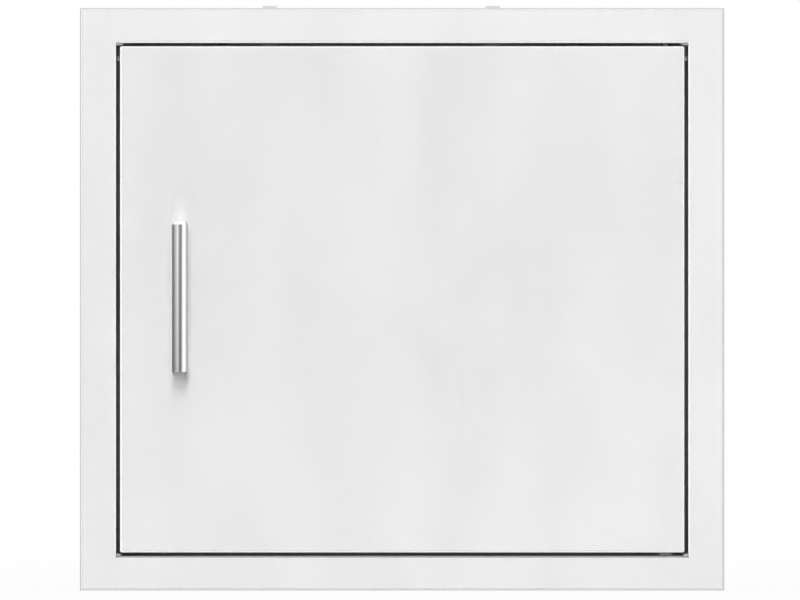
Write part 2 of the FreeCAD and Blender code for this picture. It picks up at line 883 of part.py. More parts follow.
def make_door_stiffener():
    body = new_body("door_stiffener")
    thick = cell("stiffener_sheet")
    half_crown = cell("stiffener_crown") / 2
    half_brim = half_crown + cell("stiffener_brim")
    crown_y = skin_inside_y + cell("stiffener_air")
    half_tall = skin_inside_z - cell("liner_fit") - cell("liner_sheet") - cell("stiffener_end_air")
    sketch = sketch_on(body, "section", "XY_Plane")
    draw_outline(sketch, [
        (-half_brim, liner_inside_y),
        (-half_brim, liner_inside_y - thick),
        (-half_crown, liner_inside_y - thick),
        (-half_crown, crown_y),
        (half_crown, crown_y),
        (half_crown, liner_inside_y - thick),
        (half_brim, liner_inside_y - thick),
        (half_brim, liner_inside_y),
        (half_crown - thick, liner_inside_y),
        (half_crown - thick, crown_y + thick),
        (thick - half_crown, crown_y + thick),
        (thick - half_crown, liner_inside_y),
    ])
    pad(body, sketch, half_tall * 2, both_ways=True)


def make_handle_backing_plate():
    body = new_body("handle_backing_plate", handle_z)
    half_wide = cell("backing_width") / 2
    half_tall = post_z + cell("backing_overhang")
    box(body, "plate", (bar_x - half_wide, bar_x + half_wide), (skin_inside_y, backing_back),
        (-half_tall, half_tall))
    holes = sketch_on(body, "holes", "XZ_Plane", (0, 0, -skin_inside_y))
    for up in (-1, 1):
        draw_circle(holes, (bar_x, up * post_z), cell("handle_screw_radius") + cell("screw_clearance"))
    pocket(body, holes)


def make_handle_bar():
    body = new_body("handle_bar", handle_z)
    half = cell("bar_length") / 2 - cell("cap_thickness")
    radius = cell("bar_radius")
    turned(body, "tube", "Z", (bar_x, bar_y), ring_profile(radius - cell("bar_wall"), radius, -half, half))


def make_handle_end_caps():
    body = new_body("handle_end_caps", handle_z)
    radius = cell("bar_radius")
    plug = radius - cell("bar_wall")
    end = cell("bar_length") / 2
    seat = end - cell("cap_thickness")
    bottom = seat - cell("cap_plug")
    shoulder = end - cell("cap_chamfer_length")
    cap = turned(body, "cap", "Z", (bar_x, bar_y), [
        (0, bottom), (plug, bottom), (plug, seat), (radius, seat), (radius, shoulder),
        (radius - cell("cap_chamfer"), end), (0, end),
    ])
    mirrored(body, "other_cap", [cap], "XY_Plane")


def make_handle_posts():
    body = new_body("handle_posts", handle_z)
    radius = cell("post_radius")
    chamfer = cell("post_chamfer")
    thread = cell("handle_screw_radius")
    thread_end = face_y - cell("handle_screw_bite") - cell("thread_runout")
    post = turned(body, "post", "Y", (bar_x, post_z), [
        (thread, face_y), (radius - chamfer, face_y), (radius, face_y - chamfer), (radius, bar_y),
        (0, bar_y), (0, thread_end), (thread, thread_end),
    ])
    mirrored(body, "other_post", [post], "XY_Plane")
    half = cell("bar_length") / 2
    bored(body, "saddle", "Z", (bar_x, bar_y), cylinder_profile(cell("bar_radius"), -half, half))


def make_handle_screws():
    body = new_body("handle_screws", handle_z)
    shank = cell("handle_screw_radius")
    head = cell("handle_screw_head")
    face = washer_back + cell("handle_screw_head_height")
    tip = face_y - cell("handle_screw_bite")
    centre = (bar_x, post_z)
    flat_shank = [(0, tip), (shank, tip)]
    screw = turned(body, "screw", "Y", centre, flat_shank + pan_head(shank, head, washer_back, face))
    drive = cross_recess(body, "drive", "Y", centre, face, head)
    mirrored(body, "other_screw", [screw, drive], "XY_Plane")


def make_handle_washers():
    body = new_body("handle_washers", handle_z)
    bore = cell("handle_screw_radius") + cell("screw_clearance")
    washer = turned(body, "washer", "Y", (bar_x, post_z),
                    ring_profile(bore, cell("washer_radius"), backing_back, washer_back))
    mirrored(body, "other_washer", [washer], "XY_Plane")


def make_liner_plugs():
    body = new_body("liner_plugs", handle_z)
    radius = cell("access_hole_radius")
    brim = radius + cell("plug_brim")
    face = door_back + cell("plug_brim_thickness")
    inner_end = door_back - cell("plug_depth")
    inner = radius - cell("plug_wall")
    plug = turned(body, "plug", "Y", (bar_x, post_z), [
        (inner, inner_end), (radius, inner_end), (radius, door_back), (brim, door_back),
        (brim - cell("plug_brim_thickness") / 2, face), (0, face), (0, door_back), (inner, door_back),
    ])
    mirrored(body, "other_plug", [plug], "XY_Plane")


def strike_screw_profile():
    tip = strike_back - cell("strike_screw_length")
    return countersink(cell("strike_screw_head"), cell("strike_screw_radius"), strike_back, tip)


def make_strike_plate():
    body = new_body("strike_plate")
    half_wide = cell("strike_width") / 2
    half_tall = cell("strike_height") / 2
    plate = box(body, "plate", (strike_x - half_wide, strike_x + half_wide), (door_back, strike_back),
                (-half_tall, half_tall))
    edges = [{"y": strike_back, "x": strike_x + side * half_wide} for side in (-1, 1)]
    edges += [{"y": strike_back, "z": up * half_tall} for up in (-1, 1)]
    rounded(body, "eased_edges", plate, cell("strike_easing"), edges)
    for name, up in (("lower_hole", -1), ("upper_hole", 1)):
        bored(body, name, "Y", (strike_screw_x, up * cell("strike_screw_spacing") / 2),
              strike_screw_profile())


def make_strike_screws():
    body = new_body("strike_screws")
    centre = (strike_screw_x, cell("strike_screw_spacing") / 2)
    screw = turned(body, "screw", "Y", centre, strike_screw_profile())
    drive = cross_recess(body, "drive", "Y", centre, strike_back, cell("strike_screw_head"))
    mirrored(body, "other_screw", [screw, drive], "XY_Plane")


def make_release_pin():
    body = new_body("release_pin")
    top = box_top + cell("doubler_thickness") - cell("pin_recess")
    bottom = lever_z - cell("pin_tail")
    chamfer = cell("pin_chamfer")
    neck = pin_radius - cell("clip_groove")
    turned(body, "pin", "Z", (pivot_x, pivot_y), [
        (0, bottom), (pin_radius - chamfer, bottom), (pin_radius, bottom + chamfer),
        (pin_radius, clip_bottom), (neck, clip_bottom), (neck, clip_top), (pin_radius, clip_top),
        (pin_radius, top - chamfer), (pin_radius - chamfer, top), (0, top),
    ])
    hole = sketch_on(body, "lever_hole", "XZ_Plane", (0, 0, -pivot_y))
    draw_circle(hole, (pivot_x, lever_z), cell("lever_radius"))
    pocket(body, hole)


def make_pin_clip():
    body = new_body("pin_clip")
    turned(body, "clip", "Z", (pivot_x, pivot_y),
           ring_profile(pin_radius - cell("clip_groove"), cell("clip_radius"), clip_bottom, clip_top))


def make_release_lever():
    body = new_body("release_lever")
    radius = cell("lever_radius")
    nose = pivot_y - pin_radius - cell("lever_nose")
    end = door_back + cell("lever_reach")
    chamfer = cell("lever_chamfer")
    turned(body, "rod", "Y", (pivot_x, lever_z), [
        (0, nose), (radius - chamfer, nose), (radius, nose + chamfer), (radius, end), (0, end),
    ])


def make_lever_knob():
    body = new_body("lever_knob")
    radius = cell("knob_radius")
    chamfer = cell("knob_chamfer")
    low = door_back + cell("knob_air")
    high = low + cell("knob_length")
    bore = cell("lever_radius")
    bore_end = door_back + cell("lever_reach")
    turned(body, "knob", "Y", (pivot_x, lever_z), [
        (bore, low), (radius - chamfer, low), (radius, low + chamfer), (radius, high - chamfer),
        (radius - chamfer, high), (0, high), (0, bore_end), (bore, bore_end),
    ])


def make_pin_spring():
    body = new_body("pin_spring")
    wire = cell("spring_wire")
    air = cell("spring_air")
    low = chamber_floor + air + wire / 2
    rise = clip_bottom - chamber_floor - air * 2 - wire
    section = sketch_on(body, "wire", "XZ_Plane", (pivot_x, 0, -pivot_y))
    draw_circle(section, (cell("spring_radius"), low), wire / 2)
    doc.recompute()
    coil = body.newObject("PartDesign::AdditiveHelix", "coil")
    coil.Profile = section
    coil.ReferenceAxis = (section, ["V_Axis"])
    coil.Mode = "height-turns-angle"
    bind(coil, "Height", rise)
    bind(coil, "Turns", cell("spring_turns"))


make_top_rail()
make_bottom_rail()
make_stile("frame_left_stile", -1)
make_stile("frame_right_stile", 1)
make_header_channel()
make_door_bumpers()
make_doubler("upper_pivot_plate", box_top, pin_hole)
make_doubler("lower_pivot_plate", -box_top - cell("doubler_thickness"), pin_radius)
make_lower_pivot_pin()
make_thrust_washer()
make_catch_housing()
make_catch_magnet()
make_pole_plates()
make_catch_screws()
make_catch_holes_in_stile()
make_door_skin()
make_door_liner()
make_door_stiffener()
make_handle_backing_plate()
make_handle_bar()
make_handle_end_caps()
make_handle_posts()
make_handle_screws()
make_handle_washers()
make_liner_plugs()
make_strike_plate()
make_strike_screws()
make_upper_hinge_block()
make_lower_hinge_block()
make_block_screws()
make_bush("upper_pin_bush", chamber_top, door_z)
make_bush("lower_pivot_bush", -door_z, cell("lower_bush_length") - door_z)
make_release_pin()
make_pin_clip()
make_release_lever()
make_lever_knob()
make_pin_spring()
doc.recompute()

for thing in doc.Objects:
    if "Invalid" in thing.State or "Error" in thing.State:
        raise ValueError(f"{thing.Name} has the state {thing.State}")
for piece in pieces:
    if piece.Shape.isNull() or not piece.Shape.isValid():
        raise ValueError(f"{piece.Label} has no valid shape")

os.makedirs("parts", exist_ok=True)
for piece in pieces:
    piece.Shape.exportStep(f"parts/{piece.Label}.step")
print(f"{len(pieces)} pieces written")
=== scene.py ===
import json
import math

import bmesh
import bpy
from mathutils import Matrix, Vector


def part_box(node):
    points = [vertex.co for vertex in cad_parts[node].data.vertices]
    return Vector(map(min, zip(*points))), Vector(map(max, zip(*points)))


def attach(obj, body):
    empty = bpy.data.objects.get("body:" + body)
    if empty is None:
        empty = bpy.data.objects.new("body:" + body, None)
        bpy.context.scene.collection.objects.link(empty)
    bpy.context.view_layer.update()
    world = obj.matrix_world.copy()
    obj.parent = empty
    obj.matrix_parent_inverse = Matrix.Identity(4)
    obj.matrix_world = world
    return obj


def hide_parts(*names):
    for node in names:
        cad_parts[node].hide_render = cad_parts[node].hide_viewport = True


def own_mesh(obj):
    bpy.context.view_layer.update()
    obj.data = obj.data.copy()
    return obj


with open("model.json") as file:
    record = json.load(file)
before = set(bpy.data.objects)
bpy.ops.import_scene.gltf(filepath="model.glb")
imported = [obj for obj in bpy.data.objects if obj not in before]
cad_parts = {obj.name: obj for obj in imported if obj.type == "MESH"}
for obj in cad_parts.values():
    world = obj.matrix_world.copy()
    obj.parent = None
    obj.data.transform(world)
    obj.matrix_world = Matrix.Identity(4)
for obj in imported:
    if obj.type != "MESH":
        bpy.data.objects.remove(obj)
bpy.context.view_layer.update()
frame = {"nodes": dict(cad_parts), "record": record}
nodes = frame["nodes"]
scene = bpy.context.scene
mm = 0.001
print("frame loaded,", len(nodes), "pieces")


def fromHex(code):
    # sRGB hex to the linear colour that a node's socket takes
    channels = []
    for start in (1, 3, 5):
        value = int(code[start:start + 2], 16) / 255
        channels.append(value / 12.92 if value <= 0.04045 else ((value + 0.055) / 1.055) ** 2.4)
    return (*channels, 1.0)


def addNode(tree, kind, inputs=None, stops=(), **settings):
    # gives the new node's outputs; an input is a value, a hex colour, or the output that feeds it
    made = tree.nodes.new("ShaderNode" + kind)
    for name, value in settings.items():
        setattr(made, name, value)
    for name, value in (inputs or {}).items():
        if isinstance(value, bpy.types.NodeSocket):
            tree.links.new(value, made.inputs[name])
        else:
            made.inputs[name].default_value = fromHex(value) if isinstance(value, str) else value
    for number, (place, level) in enumerate(stops):
        # a colour ramp comes with two stops
        ramp = made.color_ramp.elements
        stop = ramp[number] if number < 2 else ramp.new(place)
        stop.position = place
        stop.color = (level, level, level, 1)
    return made.outputs


def startMaterial(name):
    material = bpy.data.materials.new(name)
    material.use_nodes = True
    material.node_tree.nodes.clear()
    return material, material.node_tree


camera = {
    "distance": 14.0,        # metres before the flange, far enough that the view is almost flat
    "viewWidth": 0.6624,     # what the long side takes in at the flange
    "middle": (-0.0018, -0.0005),
    "flange": -0.006,
    "sensor": 36.0,
}
cameraData = bpy.data.cameras.new("camera")
cameraData.sensor_width = camera["sensor"]
cameraData.lens = camera["sensor"] * camera["distance"] / camera["viewWidth"]
cameraData.clip_end = 100
cameraObject = bpy.data.objects.new("camera", cameraData)
scene.collection.objects.link(cameraObject)
cameraObject.location = (camera["middle"][0], camera["flange"] - camera["distance"], camera["middle"][1])
cameraObject.rotation_euler = (math.radians(90), 0, 0)
scene.camera = cameraObject
scene.view_settings.view_transform = "Standard"

studio = {
    "diffuseLevel": 0.74,    # even light from all round
    # what polished steel mirrors: azimuth in degrees, 0 towards the camera and 90 to the right.
    # At the height of the object, dark screens between lit walls draw the bands on the round bar
    "horizon": [
        (-180, 0.25), (-145, 0.15), (-125, 0.14), (-102, 0.17), (-83, 0.31), (-66, 0.52), (-51, 0.66),
        (-37, 0.87), (-28, 1.0), (-22, 0.97), (-15, 0.54), (-9, 0.37), (3, 0.28), (12, 0.2), (22, 0.3),
        (31, 1.0), (45, 1.36), (62, 1.38), (74, 1.48), (84, 1.05), (94, 0.45), (114, 0.24), (145, 0.25),
        (180, 0.25),
    ],
    # 1 where the walls are darker at the bottom and lighter at the top
    "lean": [(-180, 0.0), (-130, 0.0), (-90, 1.0), (14, 1.0), (24, 0.0), (180, 0.0)],
    "leanReach": 0.0175,     # sine of the elevation over which that happens
    "leanLevels": (0.1, 1.9),
    "horizonTop": 0.035,     # sine of the elevation where it starts to end
    "horizonEdge": 0.03,
    # above it, a wide softbox over the camera, then the ceiling
    "softbox": [(-180, 0.8), (-115, 0.8), (-95, 1.0), (-80, 2.04), (20, 2.04), (40, 1.2), (90, 0.9),
                (115, 0.8), (180, 0.8)],
    "softboxTop": (0.35, 0.65),  # sines of the elevation over which it gives way to the ceiling
    "ceiling": [(0.6, 1.2), (0.95, 1.0)],        # sine of the elevation and level
    # below it, a dark table before the camera, then the bright floor at the foot
    "table": [(-180, 0.7), (-70, 0.8), (-35, 0.7), (-12, 0.3), (12, 0.3), (35, 0.7), (70, 0.8), (180, 0.7)],
    "tableEnd": (0.42, 0.62),
    "foot": [(0.76, 1.55), (0.94, 0.85)],
    # steel that is itself mirrored in the steel, as the handle is in the door, sees a lighter room ahead
    # and a darker one to the sides
    "again": [(-180, 0.6), (-65, 0.6), (-35, 1.7), (35, 1.7), (65, 0.6), (180, 0.6)],
    "againFrom": 2.5,        # the ray's depth at the room when two faces of steel came before it
}


def buildWorld():
    world = bpy.data.worlds.new("studioRoom")
    scene.world = world
    world.use_nodes = True
    tree = world.node_tree
    tree.nodes.clear()
    direction = addNode(tree, "TexCoord")["Generated"]
    parts = addNode(tree, "SeparateXYZ", {0: direction})
    towardsCamera = addNode(tree, "Math", {0: parts[1], 1: -1.0}, operation="MULTIPLY")
    azimuth = addNode(tree, "Math", {0: parts[0], 1: towardsCamera[0]}, operation="ARCTAN2")
    turn = addNode(tree, "MapRange", {0: azimuth[0], 1: -math.pi, 2: math.pi})[0]
    levels = {}
    for ring in ("horizon", "lean", "softbox", "table", "again"):
        stops = [((degrees + 180) / 360, level) for degrees, level in studio[ring]]
        levels[ring] = addNode(tree, "ValToRGB", {0: turn}, stops)[0]
    reach = studio["leanReach"]
    leaning = addNode(tree, "MapRange", {
        0: parts[2], 1: -reach, 2: reach, 3: studio["leanLevels"][0], 4: studio["leanLevels"][1],
    })
    horizon = addNode(tree, "Mix", {0: levels["lean"], 6: "#ffffff", 7: leaning[0]}, data_type="RGBA")
    horizon = addNode(tree, "Mix", {0: 1.0, 6: levels["horizon"], 7: horizon[2]}, data_type="RGBA",
                      blend_type="MULTIPLY")
    height = addNode(tree, "Math", {0: parts[2]}, operation="ABSOLUTE")[0]
    halves = []
    for ring, ends, steep in (("softbox", "softboxTop", "ceiling"), ("table", "tableEnd", "foot")):
        share = addNode(tree, "MapRange", {0: height, 1: studio[ends][0], 2: studio[ends][1]},
                        interpolation_type="SMOOTHSTEP")
        far = addNode(tree, "ValToRGB", {0: height}, studio[steep])
        halves.append(addNode(tree, "Mix", {0: share[0], 6: levels[ring], 7: far[0]}, data_type="RGBA")[2])
    below = addNode(tree, "Math", {0: parts[2], 1: 0.0}, operation="LESS_THAN")
    half = addNode(tree, "Mix", {0: below[0], 6: halves[0], 7: halves[1]}, data_type="RGBA")
    beside = addNode(tree, "MapRange", {
        0: height, 1: studio["horizonTop"], 2: studio["horizonTop"] + studio["horizonEdge"],
    }, interpolation_type="SMOOTHSTEP")
    room = addNode(tree, "Mix", {0: beside[0], 6: horizon[2], 7: half[2]}, data_type="RGBA")
    rays = addNode(tree, "LightPath")
    again = addNode(tree, "Math", {0: rays["Ray Depth"], 1: studio["againFrom"]}, operation="GREATER_THAN")
    again = addNode(tree, "Math", {0: again[0], 1: beside[0]}, operation="MULTIPLY")
    lift = addNode(tree, "Mix", {0: again[0], 6: "#ffffff", 7: levels["again"]}, data_type="RGBA")
    room = addNode(tree, "Mix", {0: 1.0, 6: room[2], 7: lift[2]}, data_type="RGBA", blend_type="MULTIPLY")
    mirror = addNode(tree, "Math", {
        0: rays["Is Glossy Ray"], 1: rays["Is Transmission Ray"],
    }, operation="MAXIMUM")
    diffuse = addNode(tree, "Background", {"Color": "#ffffff", "Strength": studio["diffuseLevel"]})
    mirrored = addNode(tree, "Background", {"Color": room[2], "Strength": 1.0})
    white = addNode(tree, "Background", {"Color": "#ffffff", "Strength": 1.0})
    bounced = addNode(tree, "MixShader", {0: mirror[0], 1: diffuse[0], 2: mirrored[0]})
    seen = addNode(tree, "MixShader", {0: rays["Is Camera Ray"], 1: bounced[0], 2: white[0]})
    addNode(tree, "OutputWorld", {0: seen[0]})


lamps = {
    # place in metres, size, watts; each faces the middle of the door
    "keyBox": {"place": (0.25, -2.9, 0.95), "size": (2.4, 1.5), "power": 3.0},
    "rightBox": {"place": (2.2, -1.6, 0.25), "size": (0.9, 1.2), "power": 1.7},
    "rearBox": {"place": (-1.2, 2.0, 1.8), "size": (1.6, 1.2), "power": 4.0},
}


def addLamps():
    for name, lamp in lamps.items():
        data = bpy.data.lights.new(name, "AREA")
        data.shape = "RECTANGLE"
        data.size, data.size_y = lamp["size"]
        data.energy = lamp["power"]
        made = bpy.data.objects.new(name, data)
        scene.collection.objects.link(made)
        made.location = lamp["place"]
        made.rotation_euler = (-Vector(lamp["place"])).to_track_quat("-Z", "Y").to_euler()
        made.visible_camera = made.visible_glossy = False    # the steel mirrors the room alone


floor = {
    "level": -0.2413,
    "reach": 80.0,
    "colour": "#f4f4f2",
    "glow": 0.93,            # share of plain white near the object, which keeps its shadow soft
    "nearEnd": 0.7,          # metres from the object where the floor starts to fade into the background
    "farStart": 2.2,
}


def addFloor():
    bpy.ops.object.select_all(action="DESELECT")
    bpy.ops.mesh.primitive_plane_add(size=floor["reach"], location=(0, 0, floor["level"]))
    plane = bpy.context.object
    plane.name = "floor"
    material, tree = startMaterial("paintedFloor")
    paint = addNode(tree, "BsdfDiffuse", {"Color": floor["colour"]})
    glow = addNode(tree, "Emission", {"Color": "#ffffff", "Strength": 1.0})
    place = addNode(tree, "TexCoord")
    away = addNode(tree, "VectorMath", {0: place["Object"]}, operation="LENGTH")
    fade = addNode(tree, "MapRange", {
        0: away["Value"], 1: floor["nearEnd"], 2: floor["farStart"], 3: floor["glow"], 4: 1.0,
    }, interpolation_type="SMOOTHSTEP")
    rays = addNode(tree, "LightPath")
    share = addNode(tree, "Math", {0: rays["Is Camera Ray"], 1: fade[0]}, operation="MULTIPLY")
    lit = addNode(tree, "MixShader", {0: share[0], 1: paint[0], 2: glow[0]})
    # the steel sees the room through the floor, and from below it is clear to the camera too
    clear = addNode(tree, "BsdfTransparent")
    mirror = addNode(tree, "Math", {
        0: rays["Is Glossy Ray"], 1: rays["Is Transmission Ray"],
    }, operation="MAXIMUM")
    side = addNode(tree, "NewGeometry")
    unseen = addNode(tree, "Math", {0: mirror[0], 1: side["Backfacing"]}, operation="MAXIMUM")
    sided = addNode(tree, "MixShader", {0: unseen[0], 1: lit[0], 2: clear[0]})
    addNode(tree, "OutputMaterial", {0: sided[0]})
    plane.data.materials.append(material)


buildWorld()
addLamps()
addFloor()
print("studio ready")


def brushedSheet(name, look):
    # 304 stainless sheet, belt-brushed along the width: grain lines that stretch every
    # reflection up and down and keep it sharp from side to side
    material, tree = startMaterial(name)
    place = addNode(tree, "TexCoord")
    spot = addNode(tree, "SeparateXYZ", {0: place["Object"]})
    facing = addNode(tree, "SeparateXYZ", {0: place["Normal"]})
    # the grain runs along the width on standing faces and on level ones
    length, pitch = look["grainLength"] * mm, look["grainPitch"] * mm
    upright = addNode(tree, "Math", {0: facing[2]}, operation="ABSOLUTE")
    level = addNode(tree, "Math", {0: upright[0], 1: 0.7}, operation="GREATER_THAN")
    grainScale = addNode(tree, "Mix", {
        0: level[0], 4: (1 / length, 1 / length, 1 / pitch), 5: (1 / length, 1 / pitch, 1 / length),
    }, data_type="VECTOR")
    grainPlace = addNode(tree, "VectorMath", {0: place["Object"], 1: grainScale[1]}, operation="MULTIPLY")
    scratches = addNode(tree, "TexNoise", {"Vector": grainPlace[0], "Scale": 1.0, "Detail": 3.0,
                                           "Roughness": 0.65})[0]
    # such noise lies between 0.3 and 0.7, rarely beyond
    lines = addNode(tree, "MapRange", {0: scratches, 1: 0.3, 2: 0.7}, interpolation_type="SMOOTHSTEP")
    steel = addNode(tree, "Mix", {0: lines[0], 6: look["dark"], 7: look["light"]}, data_type="RGBA")[2]
    # clouds that the belt left, a few centimetres wide and taller than wide
    cloudPlace = addNode(tree, "Mapping", {
        0: place["Object"], 3: [1 / (size * mm) for size in look["cloudSize"]],
    })
    clouds = addNode(tree, "TexNoise", {"Vector": cloudPlace[0], "Scale": 1.0, "Detail": 1.0})
    cloudShare = addNode(tree, "MapRange", {0: clouds[0], 1: 0.35, 2: 0.65, 4: look["cloudShare"]},
                         interpolation_type="SMOOTHSTEP")
    steel = addNode(tree, "Mix", {0: cloudShare[0], 6: steel, 7: look["cloud"]}, data_type="RGBA")[2]
    # painted light: the tone changes softly from side to side and up the sheet, standing in for the broad
    # bands and gradients of light in its reflection
    for number, bands in ((0, look["across"]), (2, look["upwards"])):
        first, last = bands[0][0], bands[-1][0]
        along = addNode(tree, "MapRange", {0: spot[number], 1: first * mm, 2: last * mm})
        tones = [((middle - first) / (last - first), level) for middle, level in bands]
        tone = addNode(tree, "ValToRGB", {0: along[0]}, tones)
        steel = addNode(tree, "Mix", {0: 1.0, 6: steel, 7: tone[0]}, data_type="RGBA",
                        blend_type="MULTIPLY")[2]
    if "scratch" in look:
        # one faint hairline down the leaf
        line = look["scratch"]
        reach = []
        for number, centre, edge, core in ((0, line["x"], line["width"], 0.0),
                                           (2, line["z"], line["half"], line["half"] / 2)):
            away = addNode(tree, "Math", {0: spot[number], 1: centre * mm}, operation="SUBTRACT")
            away = addNode(tree, "Math", {0: away[0]}, operation="ABSOLUTE")
            reach.append(addNode(tree, "MapRange", {0: away[0], 1: edge * mm, 2: core * mm},
                                 interpolation_type="SMOOTHSTEP")[0])
        share = addNode(tree, "Math", {0: reach[0], 1: reach[1]}, operation="MULTIPLY")
        share = addNode(tree, "Math", {0: share[0], 1: line["strength"]}, operation="MULTIPLY")
        steel = addNode(tree, "Mix", {0: share[0], 6: steel, 7: line["colour"]}, data_type="RGBA")[2]
    # painted highlight: the bends, and every face that doesn't look to front or back, are drawn brighter
    # than the flat
    flat = addNode(tree, "Math", {0: facing[1]}, operation="ABSOLUTE")
    bent = addNode(tree, "MapRange", {0: flat[0], 1: look["bends"][0], 2: look["bends"][1]},
                   interpolation_type="SMOOTHSTEP")
    steel = addNode(tree, "Mix", {0: bent[0], 6: steel, 7: look["bendHighlight"]}, data_type="RGBA")[2]
    # painted shade inside the box, behind the face: the faces the gaps look into are rougher, and drawn
    # darker to stand in for the shade there
    zones = []
    for halves in (look["rimHalves"], look["boxHalves"]):
        beyond = []
        for number, half in zip((0, 2), halves):
            away = addNode(tree, "Math", {0: spot[number]}, operation="ABSOLUTE")
            beyond.append(addNode(tree, "Math", {0: away[0], 1: half * mm}, operation="SUBTRACT")[0])
        zones.append(addNode(tree, "Math", {0: beyond[0], 1: beyond[1]}, operation="MAXIMUM")[0])
    # painted shade: the outer rim is drawn darker, standing in for the darker reflection of its outer bends
    rimStart, rimFull = (-width * mm for width in look["rimWidth"])
    rim = addNode(tree, "MapRange", {0: zones[0], 1: rimStart, 2: rimFull}, interpolation_type="SMOOTHSTEP")
    steel = addNode(tree, "Mix", {0: rim[0], 6: steel, 7: look["rim"]}, data_type="RGBA")[2]
    dull = addNode(tree, "MapRange", {0: spot[1], 1: look["dullFrom"] * mm, 2: look["dullTo"] * mm},
                   interpolation_type="SMOOTHSTEP")
    inBox = addNode(tree, "Math", {0: zones[1], 1: 0.0}, operation="LESS_THAN")
    notBack = addNode(tree, "Math", {0: facing[1], 1: 0.5}, operation="LESS_THAN")
    # the header's hem, below this height, is left out of the dull and painted shade, so it shows lighter in
    # the side gaps
    overHem = addNode(tree, "Math", {0: spot[2], 1: look["dullAbove"] * mm}, operation="GREATER_THAN")
    for part in (inBox, notBack, overHem):
        dull = addNode(tree, "Math", {0: dull[0], 1: part[0]}, operation="MULTIPLY")
    steel = addNode(tree, "Mix", {0: dull[0], 6: steel, 7: look["dull"]}, data_type="RGBA")[2]
    # painted shade on the faces that look up, which takes the highlight off the bends that face up; the rim
    # is mostly spared
    rising = addNode(tree, "MapRange", {0: facing[2], 1: 0.0, 2: 0.2}, interpolation_type="SMOOTHSTEP")
    wiped = addNode(tree, "Math", {0: rim[0], 1: look["wiped"]}, operation="MULTIPLY")
    rising = addNode(tree, "Math", {0: rising[0], 1: wiped[0]}, operation="SUBTRACT", use_clamp=True)
    steel = addNode(tree, "Mix", {0: rising[0], 6: steel, 7: look["risingShade"]}, data_type="RGBA",
                    blend_type="MULTIPLY")[2]
    # the deeper lines are the rougher ones
    smooth, coarse = look["roughness"]
    rough = addNode(tree, "MapRange", {0: scratches, 1: 0.3, 2: 0.7, 3: coarse, 4: smooth})
    rough = addNode(tree, "MapRange", {0: dull[0], 3: rough[0], 4: look["dullRoughness"]})
    relief = addNode(tree, "Bump", {"Strength": look["relief"], "Distance": look["depth"] * mm,
                                    "Height": scratches})
    # grain lies level, so the reflection stretches upright; a little aslant, it suits level faces too
    stretch = addNode(tree, "VectorTransform", {0: look["stretch"]}, vector_type="VECTOR",
                      convert_from="OBJECT", convert_to="WORLD")
    shader = addNode(tree, "BsdfPrincipled", {
        "Base Color": steel, "Metallic": 1.0, "Roughness": rough[0], "Anisotropic": look["anisotropy"],
        "Normal": relief[0], "Tangent": stretch[0],
    })
    addNode(tree, "OutputMaterial", {0: shader[0]})
    return material


def grained(name, look):
    # fine grain drives colour, roughness and relief, and broader patches shift the tone
    material, tree = startMaterial(name)
    texture = addNode(tree, "TexCoord")
    place = texture["Object"]
    clouds = []
    for sizes in (look["grain"], look["patches"]):
        spot = addNode(tree, "Mapping", {0: place, 3: [1 / (size * mm) for size in sizes]})
        clouds.append(addNode(tree, "TexNoise", {"Vector": spot[0], "Scale": 1.0, "Detail": 3.0,
                                                 "Roughness": 0.6})[0])
    grain = addNode(tree, "MapRange", {0: clouds[0], 1: 0.3, 2: 0.7})
    colour = addNode(tree, "Mix", {0: grain[0], 6: look["dark"], 7: look["light"]}, data_type="RGBA")
    share = addNode(tree, "MapRange", {0: clouds[1], 1: 0.35, 2: 0.65, 4: look["patchShare"]},
                    interpolation_type="SMOOTHSTEP")
    colour = addNode(tree, "Mix", {0: share[0], 6: colour[2], 7: look["patch"]}, data_type="RGBA")
    if "tilt" in look:
        # painted shade on faces that look partly down and painted highlight on faces that look up
        facing = addNode(tree, "SeparateXYZ", {0: texture["Normal"]})
        upwards = addNode(tree, "MapRange", {0: facing[2], 1: -1.0, 2: 1.0})
        tones = [((rise + 1) / 2, level) for rise, level in look["tilt"]]
        tone = addNode(tree, "ValToRGB", {0: upwards[0]}, tones)
        colour = addNode(tree, "Mix", {0: 1.0, 6: colour[2], 7: tone[0]}, data_type="RGBA",
                         blend_type="MULTIPLY")
        # painted shade: seen at a flat angle, towards the bar's edges, the colour is drawn darker, standing
        # in for the dimmer reflection there
        slant = addNode(tree, "LayerWeight", {"Blend": 0.5})
        aside = addNode(tree, "MapRange", {0: slant["Facing"], 1: look["slant"][0], 2: look["slant"][1]})
        colour = addNode(tree, "Mix", {0: aside[0], 6: colour[2], 7: look["sides"]}, data_type="RGBA")
    smooth, coarse = look["roughness"]
    rough = addNode(tree, "MapRange", {0: clouds[0], 1: 0.3, 2: 0.7, 3: smooth, 4: coarse})
    relief = addNode(tree, "Bump", {"Strength": look["relief"], "Distance": look["depth"] * mm,
                                    "Height": clouds[0]})
    shader = addNode(tree, "BsdfPrincipled", {
        "Base Color": colour[2], "Metallic": look["metallic"], "Roughness": rough[0], "Normal": relief[0],
    })
    addNode(tree, "OutputMaterial", {0: shader[0]})
    return material


